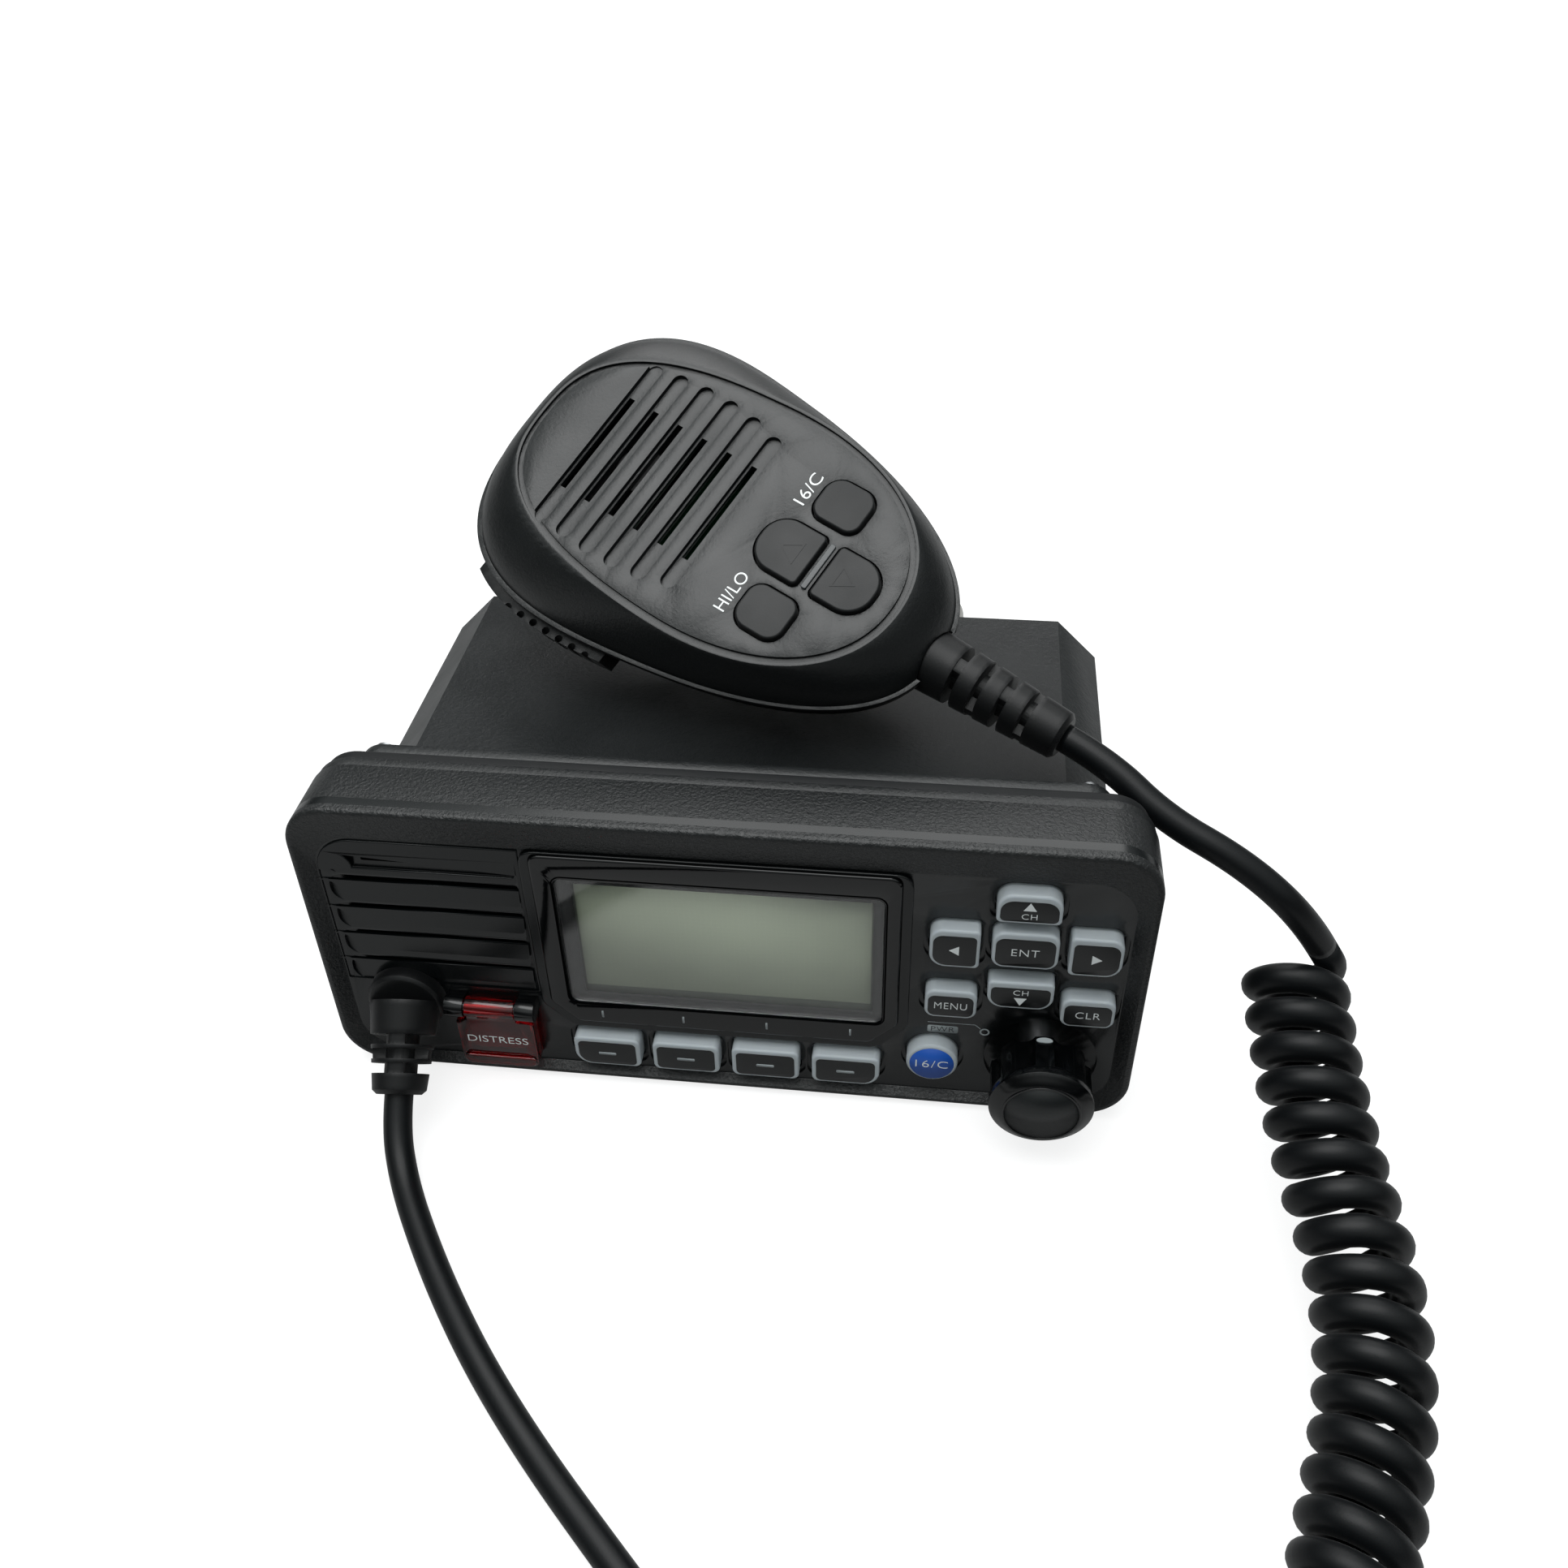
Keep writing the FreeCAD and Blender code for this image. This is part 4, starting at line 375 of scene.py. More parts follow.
@dataclass(frozen=True)
class Sweep(Finish):
    """Matte painted floor that shows its own white to the camera and a little of it in reflections."""

    low_tone: float = 0.28
    high_tone: float = 0.3
    camera_glow: float = 0.72
    mirrored_glow: float = 0.08

    def dress(self, tree: Tree, shader: Node) -> None:
        """Adds the glow by kind of ray and the uneven tone of paint."""
        rays = add(tree, "LightPath").outputs
        seen = add(tree, "Math", {0: rays["Is Camera Ray"], 1: rays["Is Glossy Ray"]}, operation="MAXIMUM")
        seen = add(tree, "Math", {0: seen, 1: rays["Is Transmission Ray"]}, operation="MAXIMUM")
        direct = add(tree, "Math", {0: rays["Is Camera Ray"], 1: self.camera_glow}, operation="MULTIPLY")
        glow = add(tree, "Math", {0: seen, 1: self.mirrored_glow, 2: direct},
                   operation="MULTIPLY_ADD")
        cloud = add(tree, "TexNoise", {"Vector": add(tree, "TexCoord").outputs["Object"],
                                                 "Scale": 3.0})
        tone = add(tree, "MapRange", {"Value": cloud.outputs["Fac"], "To Min": self.low_tone,
                                                "To Max": self.high_tone})
        tree.links.new(tone.outputs[0], shader.inputs["Base Color"])
        shader.inputs["Emission Color"].default_value = (1.0, 1.0, 1.0, 1.0)
        tree.links.new(glow.outputs[0], shader.inputs["Emission Strength"])


class Finishes:
    """Every finish of the radio and its microphone, named for the material and how it was made."""

    # Front unit: a grained rim that looks soft grey, and a smooth panel with sharper reflections
    CASE = CaseABS("abs_spark_grained_black", "0a0d0e", 0.42, grain_width=0.7, grain_depth=0.26)
    FRAME = SparkedABS("abs_spark_grained_black_rear", "0a0d0e", 0.46)
    PANEL = Finish("abs_polished_black_panel", "080b0c", 0.2, mirror=0.4)
    # Polished acrylic: the deepest black, with crisp mirror images
    GLOSS = Finish("pmma_polished_black", "040506", 0.06, ior=1.49)
    # Painted shade: a near-black sheet laid where the inside of the sound slits and the window's groove lies in
    # shadow
    PAINTED_SHADE = Finish("painted_shade_black", "010101", 0.9, ior=1.1)
    # Rubber seal: the dullest black
    GASKET = MouldedRubber("epdm_moulded_black", "06080a", 0.6, ior=1.45, mirror=0.3)
    # Chassis: pebbled, with broad soft highlights along its bevels
    CAST = PowderCoat("die_cast_powder_coated_black", "0e1112", 0.44, ior=1.5)
    # Display: clear cast window, grey-green film, darker bare glass at its edge, black print round both
    LENS = ClearPlastic("pmma_clear_window", "ffffff", 0.02, ior=1.49)
    LCD = CrystalFilm("lcd_reflective_film", "a3ac98", 0.45)
    LCD_EDGE = Finish("lcd_glass_edge", "737a70", 0.4)
    INK = Finish("lens_black_back_print", "030405", 0.5)
    # Keys: milky rubber that shows as a pale border round the satin print on top
    KEY = Silicone("silicone_translucent_white", "b4bbbf", 0.4, ior=1.43)
    KEY_TOP = Finish("silicone_black_top_print", "0a0c0d", 0.36)
    KEY_BLUE = Finish("silicone_blue_top_print", "1a55b4", 0.38)
    LEGEND = Finish("pad_print_white", "e4e8e8", 0.5)
    LEGEND_GREY = Finish("pad_print_grey", "9aa1a3", 0.5)
    # Emergency key: clear red cover with bright edges over dull red rubber
    RED_CLEAR = ClearPlastic("polycarbonate_clear_red", "c40e18", 0.05, ior=1.58, mirror=0.3)
    RED_KEY = Silicone("silicone_red", "4a060b", 0.4, ior=1.43)
    # Knob: polished flutes with narrow highlights round a satin cap
    KNOB = Finish("abs_polished_black_knob", "040506", 0.16)
    KNOB_CAP = SparkedABS("abs_satin_black_cap", "0f1213", 0.36, grain_width=0.4, grain_depth=0.01)
    # Microphone: a finer grain with a smoother sheen, matte keys and a smoked light window
    MIC = SparkedABS("pc_abs_fine_grained_black", "090c0d", 0.38, grain_width=0.7, grain_depth=0.06)
    MIC_KEY = MouldedRubber("silicone_matte_black", "050708", 0.48, ior=1.41)
    LIGHT_BAR = Finish("light_pipe_smoked", "2c3032", 0.25)
    # Cord: satin black with one soft highlight along each curl
    BOOT = MouldedRubber("pvc_moulded_boot_black", "060708", 0.44, ior=1.45, mirror=0.35)
    JACKET = MouldedRubber("pu_extruded_jacket_black", "050709", 0.4, ior=1.42, mirror=0.3)
    # Metal parts: turned brass, bright zinc and warm nickel
    BRASS = Metal("brass_machined", "b8955a", 0.3, metallic=1.0)
    ZINC = Metal("steel_zinc_plated", "a9abad", 0.32, metallic=1.0)
    NICKEL = Metal("brass_nickel_plated", "c4c2bb", 0.25, metallic=1.0)
    # Inside: green solder mask with a low shine, and matte speaker paper
    BOARD = Finish("glass_epoxy_green_mask", "0f3d22", 0.3)
    SPEAKER = Finish("speaker_paper_black", "141414", 0.8)
    FLOOR = Sweep("studio_sweep_white", "939393", 0.75, mirror=0.1)


# The CAD nodes: finish, and width in millimetres of the soft edge that their making leaves, or 0 for none
NODES: dict[str, tuple[Finish, float]] = {
    "front_case": (Finishes.CASE, 0.22), "rear_frame": (Finishes.FRAME, 0.25), "gasket": (Finishes.GASKET, 0.3),
    "chassis": (Finishes.CAST, 0.35), "bracket_inserts": (Finishes.BRASS, 0.0), "case_screws": (Finishes.ZINC, 0.0),
    "board_screws": (Finishes.ZINC, 0.0), "display_frame": (Finishes.GLOSS, 0.12),
    "display_lens": (Finishes.LENS, 0.0), "display_module": (Finishes.LCD_EDGE, 0.0),
    "hinge_knuckles": (Finishes.KNOB, 0.5), "hinge_pin": (Finishes.ZINC, 0.0), "key_mat": (Finishes.GASKET, 0.0),
    "front_board": (Finishes.BOARD, 0.0), "main_board": (Finishes.BOARD, 0.0),
    "loudspeaker": (Finishes.SPEAKER, 0.0), "encoder": (Finishes.FRAME, 0.0),
    "antenna_socket": (Finishes.NICKEL, 0.0), "power_gland": (Finishes.GASKET, 0.0),
    "data_gland": (Finishes.GASKET, 0.0), "radio_boot": (Finishes.BOOT, 0.3),
    "distress_cover": (Finishes.RED_CLEAR, 0.25), "distress_key": (Finishes.RED_KEY, 0.25),
    "knob_shaft": (Finishes.ZINC, 0.0), "knob": (Finishes.KNOB, 0.35),
    **{f"soft_key_{number}": (Finishes.KEY, 0.2) for number in range(1, 5)},
    **{f"key_{name}": (Finishes.KEY, 0.2)
       for name in ("up", "enter", "down", "left", "right", "menu", "clear", "round")},
    "mic_front_case": (Finishes.MIC, 0.2), "mic_rear_case": (Finishes.MIC, 0.3), "mic_boot": (Finishes.BOOT, 0.25),
    "mic_capsule": (Finishes.SPEAKER, 0.0), "mic_board": (Finishes.BOARD, 0.0),
    "mic_hanger": (Finishes.ZINC, 0.0), "mic_talk_key": (Finishes.MIC_KEY, 0.3),
    **{f"mic_key_{name}": (Finishes.MIC_KEY, 0.3) for name in ("round", "power", "up", "down")},
}


# Mesh helpers


def piece(name: str, mesh: Mesh, finish: Finish, body: str = Body.RADIO.value) -> bpy.types.Object:
    """Puts a mesh in the scene as a piece of the object.

    Args:
        name: Name of the piece.
        mesh: Its mesh, in the shared frame and in metres.
        finish: Its finish.
        body: The body it rides on.

    Returns:
        The new object.
    """
    made = bpy.data.objects.new(name, mesh)
    bpy.context.scene.collection.objects.link(made)
    made.data.materials.append(finish.material())
    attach(made, body)
    return made


def settled(curve: bpy.types.Curve) -> Mesh:
    """The mesh that a curve or text makes, which takes its place."""
    holder = bpy.data.objects.new("holder", curve)
    bpy.context.scene.collection.objects.link(holder)
    bpy.context.view_layer.update()
    mesh = bpy.data.meshes.new_from_object(holder)
    bpy.data.objects.remove(holder)
    mesh.materials.clear()
    return mesh


def rounded(sides: Box, radii: Union[float, Sequence[float]], steps: int = 8) -> list[Point]:
    """Outline of a rectangle with rounded corners.

    Args:
        sides: Its left, right, low and high sides.
        radii: One radius, or those of the right bottom, right top, left top and left bottom corners.
        steps: Segments of each corner.

    Returns:
        Points in turn, anticlockwise.
    """
    left, right, low, high = sides
    each = (radii,) * 4 if isinstance(radii, float) else radii
    corners = ((right, low, -1, 1), (right, high, -1, -1), (left, high, 1, -1), (left, low, 1, 1))
    points = []
    for index, ((x, y, sx, sy), radius) in enumerate(zip(corners, each)):
        for step in range(steps + 1):
            angle = math.pi / 2 * (index - 1 + step / steps)
            points.append((x + sx * radius + radius * math.cos(angle), y + sy * radius + radius * math.sin(angle)))
    return points


def circle(x: float, y: float, radius: float, steps: int = 48) -> list[Point]:
    """Outline of a circle."""
    return [(x + radius * math.cos(2 * math.pi * i / steps), y + radius * math.sin(2 * math.pi * i / steps))
            for i in range(steps)]


def plate(outline: Sequence[Point], low: float, high: float, side: Side, hole: Optional[Sequence[Point]] = None,
          bevel: float = 0.0) -> Mesh:
    """A flat plate on the face of a unit.

    Args:
        outline: Outline on the face, in millimetres.
        low: Its back, in millimetres out of the face.
        high: Its front.
        side: The unit it lies on.
        hole: Outline of an opening with as many points.
        bevel: Width of a soft front edge.

    Returns:
        The mesh in the shared frame.
    """
    mesh = bpy.data.meshes.new("plate")
    work = bmesh.new()
    if hole:
        rings = [[work.verts.new((x, y, z)) for x, y in points] for z in (low, high) for points in (outline, hole)]
        count = len(outline)
        for i in range(count):
            j = (i + 1) % count
            work.faces.new((rings[0][i], rings[1][i], rings[1][j], rings[0][j]))
            work.faces.new((rings[2][i], rings[2][j], rings[3][j], rings[3][i]))
            work.faces.new((rings[0][i], rings[0][j], rings[2][j], rings[2][i]))
            work.faces.new((rings[1][j], rings[1][i], rings[3][i], rings[3][j]))
    else:
        back = [work.verts.new((x, y, low)) for x, y in outline]
        front = [work.verts.new((x, y, high)) for x, y in outline]
        work.faces.new(list(reversed(back)))
        top = work.faces.new(front)
        for i in range(len(outline)):
            j = (i + 1) % len(outline)
            work.faces.new((back[i], back[j], front[j], front[i]))
        if bevel:
            bmesh.ops.bevel(work, geom=list(top.edges), offset=bevel, segments=3, profile=0.5, affect="EDGES")
    bmesh.ops.recalc_face_normals(work, faces=work.faces)
    work.to_mesh(mesh)
    work.free()
    mesh.transform(FACES[side])
    mesh.shade_smooth()
    return mesh


def pierced(outlines: Sequence[Sequence[Point]], low: float, high: float, side: Side, bevel: float) -> Mesh:
    """A flat moulding with rounded edges, and with openings or without.

    Args:
        outlines: Outer outline first, then the outline of each opening, in millimetres.
        low: Its back, in millimetres out of the face.
        high: Its front.
        side: The unit it lies on.
        bevel: Radius of its edges.

    Returns:
        The mesh in the shared frame.
    """
    curve = bpy.data.curves.new("moulding", "CURVE")
    curve.dimensions = "2D"
    curve.fill_mode = "BOTH"
    for outline in outlines:
        spline = curve.splines.new("POLY")
        spline.points.add(len(outline) - 1)
        for point, (x, y) in zip(spline.points, outline):
            point.co = (x, y, 0.0, 1.0)
        spline.use_cyclic_u = True
    curve.extrude = (high - low) / 2 - bevel
    curve.bevel_depth = bevel
    curve.bevel_resolution = 3
    curve.offset = -bevel
    mesh = settled(curve)
    mesh.transform(FACES[side] @ Matrix.Translation((0.0, 0.0, (low + high) / 2)))
    mesh.shade_smooth()
    return mesh


def crisp(target: bpy.types.Object, width: float) -> None:
    """Softens the edges of a CAD node a little, without moving its surfaces.

    Args:
        target: The node's object.
        width: Width of the softened edge in millimetres.
    """
    target.data.shade_smooth()
    weld = target.modifiers.new("weld", "WELD")
    weld.merge_threshold = 0.000002
    soft = target.modifiers.new("soft_edges", "BEVEL")
    soft.width = width * MM
    soft.segments = 2
    soft.limit_method = "ANGLE"
    soft.angle_limit = math.radians(35.0)
    soft.harden_normals = True
    soft.use_clamp_overlap = True


def legend(text: str, x: float, y: float, height: float, width: float, out: float, side: Side,
           slim: float = 0.01, spread: float = 1.1) -> Mesh:
    """Printed capital letters on the face of a unit.

    Args:
        text: The letters.
        x: Middle of the text across the face, in millimetres.
        y: Middle of the text up the face.
        height: Height of a capital letter.
        width: Width of the whole text.
        out: Level of the print out of the face.
        side: The unit it lies on.
        slim: How much thinner the strokes are, as a share of the letter size.
        spread: Letter spacing.

    Returns:
        The mesh in the shared frame.
    """
    curve = bpy.data.curves.new("legend", "FONT")
    curve.body = text
    curve.align_x = "CENTER"
    curve.resolution_u = 5
    curve.extrude = 0.01
    curve.offset = -slim
    curve.space_character = spread
    mesh = settled(curve)
    low, high = ([pick(v.co[axis] for v in mesh.vertices) for axis in (0, 1)] for pick in (min, max))
    centre = Vector(((high[0] + low[0]) / 2, (high[1] + low[1]) / 2, 0.0))
    shape = (Matrix.Translation((x, y, out))
             @ Matrix.Diagonal((width / (high[0] - low[0]), height / (high[1] - low[1]), 1.0, 1.0))
             @ Matrix.Translation(-centre))
    mesh.transform(FACES[side] @ shape)
    return mesh


# Camera, light and floor


@dataclass(frozen=True)
class SoftBox:
    """A square lamp: where it hangs and aims in metres, its width and its power in watts."""

    name: str
    spot: Spot
    aim: Spot
    width: float
    power: float

    def hang(self) -> None:
        """Makes the lamp."""
        data = bpy.data.lights.new(self.name, "AREA")
        data.shape = "SQUARE"
        data.size = self.width
        data.energy = self.power
        lamp = bpy.data.objects.new(self.name, data)
        aim = (Vector(self.aim) - Vector(self.spot)).to_track_quat("-Z", "Y")
        lamp.matrix_world = Matrix.Translation(self.spot) @ aim.to_matrix().to_4x4()
        bpy.context.scene.collection.objects.link(lamp)


@dataclass
class Studio:
    """Plain pale floor, soft light and the camera that took the picture."""

    camera_spot: Spot = (0.038686, -0.216556, 0.247421)
    right: Spot = (0.992924, 0.114584, -0.031177)
    down: Spot = (0.056840, -0.689103, -0.722431)
    sensor: float = 36.0
    focal_share: float = 1807.68 / 1932.0  # of the picture's width
    floor_half: float = 3.0
    floor_drop: float = 0.00002
    lamps: tuple[SoftBox, ...] = (
        SoftBox("overhead", (-0.1, 0.05, 0.9), (0.0, 0.02, 0.03), 0.8, 7.0),
        SoftBox("behind", (0.02, 0.9, 0.65), (0.0, 0.0, 0.05), 0.8, 3.4))
    horizon: float = 0.05
    zenith: float = 1.1
    sky_starts: float = 0.15
    sky_tint: tuple[float, float, float, float] = (0.94, 1.0, 1.0, 1.0)

    def build(self) -> None:
        """Makes the camera, the floor, the lamps and the world."""
        self.camera()
        self.floor()
        for lamp in self.lamps:
            lamp.hang()
        self.world()

    def camera(self) -> None:
        """Stands the camera where the picture was taken."""
        data = bpy.data.cameras.new("camera")
        data.sensor_width = self.sensor
        data.lens = self.sensor * self.focal_share
        data.clip_start = 0.01
        camera = bpy.data.objects.new("camera", data)
        across = Vector(self.right).normalized()
        upward = -Vector(self.down).normalized()
        back = across.cross(upward).normalized()
        upward = back.cross(across)
        turn = Matrix((across, upward, back)).transposed().to_4x4()
        camera.matrix_world = Matrix.Translation(self.camera_spot) @ turn
        bpy.context.scene.collection.objects.link(camera)
        bpy.context.scene.camera = camera

    def floor(self) -> None:
        """Lays the pale floor."""
        mesh = bpy.data.meshes.new("floor")
        half = self.floor_half
        mesh.from_pydata([(-half, -half, 0), (half, -half, 0), (half, half, 0), (-half, half, 0)], [], [(0, 1, 2, 3)])
        mesh.materials.append(Finishes.FLOOR.material())
        floor = bpy.data.objects.new("floor", mesh)
        bpy.context.scene.collection.objects.link(floor)
        floor.location.z = -self.floor_drop

    def world(self) -> None:
        """Fills the room with light from above, and shows white where nothing stands."""
        world = bpy.data.worlds.new("room")
        bpy.context.scene.world = world
        world.use_nodes = True
        tree = world.node_tree
        tree.nodes.clear()
        path = add(tree, "LightPath")
        rise = add(tree, "SeparateXYZ", {0: add(tree, "TexCoord").outputs["Generated"]})
        sky = add(tree, "MapRange", {
            "Value": rise.outputs["Z"], "From Min": self.sky_starts, "From Max": 1.0,
            "To Min": self.horizon, "To Max": self.zenith}, interpolation_type="SMOOTHSTEP")
        light = add(tree, "Background", {"Color": self.sky_tint, "Strength": sky})
        white = add(tree, "Background", {"Color": (1.0, 1.0, 1.0, 1.0), "Strength": 1.0})
        seen = add(tree, "MixShader", {0: path.outputs["Is Camera Ray"], 1: light,
                                                 2: white})
        add(tree, "OutputWorld", {"Surface": seen})
        bpy.context.scene.view_settings.view_transform = "Standard"


# The front unit, in millimetres: places on its face, and levels out of it


@dataclass
class Display:
    """Clear window over the liquid crystal panel, in a glossy frame with cut lower corners."""

    window: Box = (-29.25, 30.6, 21.05, 52.95)
    window_corner: float = 1.7
    back_print: Box = (-29.6, 30.9, 20.8, 53.2)
    opening: Box = (-26.3, 28.7, 23.6, 51.7)
    film: Box = (-26.1, 28.4, 24.9, 53.0)
    glass: Box = (-28.6, 29.6, 21.6, 53.2)
    # Outline of the ring painted as the shade in the window's groove
    groove_outside: Box = (-30.0, 31.2, 20.4, 53.5)
    groove_inside: Box = (-29.7, 30.9, 20.7, 53.2)
    frame: Box = (-33.6, 33.6, 15.4, 58.0)
    frame_cut: float = 5.2
    ticks: tuple[float, ...] = (-23.5, -7.6, 8.6, 24.7)
    tick_half: float = 0.2
    tick_low: float = 17.1
    tick_high: float = 18.9
    # Levels of the ticks' print, and of the ring painted as the groove's shade
    ink: tuple[float, float] = (-0.72, -0.68)

    def build(self) -> None:
        """Lays the window, its black back print, the film behind it and the band round the frame."""
        window = pierced([rounded(self.window, self.window_corner)], -1.65, -0.78, Side.RADIO, 0.12)
        glass = piece("display_window", window, Finishes.LENS)
        glass.visible_shadow = False
        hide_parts("display_lens")
        ring = plate(rounded(self.back_print, self.window_corner), -1.78, -1.68, Side.RADIO,
                     hole=rounded(self.opening, 0.5))
        piece("lens_back_print", ring, Finishes.INK)
        film = plate(rounded(self.film, 0.3), -2.5, -2.4, Side.RADIO)
        piece("lcd_film", film, Finishes.LCD)
        edge = plate(rounded(self.glass, 0.3), -2.7, -2.6, Side.RADIO)
        piece("lcd_edge", edge, Finishes.LCD_EDGE)
        # Painted shade: a near-black ring sheet where the groove round the window lies in shadow
        groove = plate(rounded(self.groove_outside, 2.1), *self.ink, Side.RADIO,
                       hole=rounded(self.groove_inside, 1.8))
        piece("window_groove", groove, Finishes.PAINTED_SHADE)
        band = pierced([self.cornered(2.0, 3.4), self.cornered(-0.1, 1.9)], -2.05, -1.3, Side.RADIO, 0.3)
        piece("display_band", band, Finishes.PANEL)
        for index, x in enumerate(self.ticks):
            sides = (x - self.tick_half, x + self.tick_half, self.tick_low, self.tick_high)
            tick = plate(rounded(sides, 0.1, 2), *self.ink, Side.RADIO)
            piece(f"tick_{index + 1}", tick, Finishes.LEGEND_GREY)

    def cornered(self, grow: float, radius: float) -> list[Point]:
        """Outline round the display frame.

        Args:
            grow: How far outside the frame it runs. At the top it stays within the panel.
            radius: Radius of its corners.

        Returns:
            Points in turn.
        """
        left, right, low, high = self.frame
        left, right, low, high = left - grow, right + grow, low - grow, high + min(grow, 0.4)
        cut = self.frame_cut + grow * 0.4
        corners = [Vector(c) for c in ((right - cut, low), (right, low + cut), (right, high), (left, high),
                                       (left, low + cut), (left + cut, low))]
        points = []
        for index, corner in enumerate(corners):
            before = (corners[index - 1] - corner).normalized()
            after = (corners[(index + 1) % 6] - corner).normalized()
            reach = radius / math.tan(before.angle(after) / 2)
            start, end = corner + before * reach, corner + after * reach
            for share in (step / 6 for step in range(7)):
                points.append(tuple(start.lerp(corner, share).lerp(corner.lerp(end, share), share)))
        return points


@dataclass
class Grille:
    """Louvred face over the loudspeaker's scoops, with near-black plates in four of its five rows as painted shade
    inside the sound slits.
    """

    sides: Box = (-74.3, -35.6, 21.9, 58.1)
    corners: tuple[float, ...] = (0.1, 0.1, 7.5, 0.5)
    rows: int = 5
    first_row: float = 54.9
    pitch: float = 6.87
    groove: float = 3.5
    left_end: float = -72.9
    first_left_end: float = -70.2  # the top row stops short of the rounded corner
    right_end: float = -36.7
    tip: float = 2.6
    slit_high: float = 1.15
    slit_low: float = 2.35
    slits: tuple[tuple[Point, Point], ...] = (
        ((-66.0, -53.5), (-51.0, -45.0)), ((-70.5, -54.5), (-52.0, -41.5)), ((-71.3, -53.8), (-50.9, -39.4)),
        ((-71.3, -53.8), (-50.9, -39.4)))

    def build(self) -> None:
        """Lays the face, whose lower edges curve in at the left, and under it the near-black plates painted as the
        shaded insides of the slits.
        """
        _, right, low, high = self.sides
        rim = [point for point in rounded(self.sides, self.corners) if point[0] < self.right_end - self.tip]
        openings = [self.opening(row) for row in range(self.rows)]
        face = pierced([[(right, low), (right, high), *rim], *openings], -2.3, -1.7, Side.RADIO, 0.22)
        piece("grille_face", face, Finishes.PANEL)
        for row, pair in enumerate(self.slits):
            top = self.first_row - self.pitch * row
            for part, (start, end) in enumerate(pair):
                sides = (start, end, top - self.slit_low, top - self.slit_high)
                # Painted shade: a near-black plate where the slit's inside lies in shadow under the louvre's lip
                slit = plate(rounded(sides, 0.25, 3), -3.3, -2.85, Side.RADIO)
                piece(f"sound_slit_{row + 1}_{part + 1}", slit, Finishes.PAINTED_SHADE)

    def opening(self, row: int) -> list[Point]:
        """Outline of one louvre's opening.

        Args:
            row: Its number from the top, from 0.

        Returns:
            Points in turn.
        """
        top = self.first_row - self.pitch * row
        left = self.left_end if row else self.first_left_end
        edge = [(left + self.tip * math.sin(a) ** 1.2, top - self.groove * (1.0 - math.cos(a)))
                for a in (math.pi / 2 * k / 8 for k in range(9))]
        heel = [(self.right_end - 0.8 + 0.7 * math.sin(a), top - self.groove + 0.7 * (1.0 - math.cos(a)))
                for a in (math.pi / 2 * k / 4 for k in range(5))]
        return [*edge, *heel, (self.right_end, top)]


@dataclass
class KeyShape:
    """One rubber key of the front panel: its outline, and what its top says."""

    node: str
    middle: float
    low: float
    high: float
    width: float
    radii: tuple[float, float, float, float]
    text: str = ""
    text_width: float = 0.0
    way: Optional[Way] = None


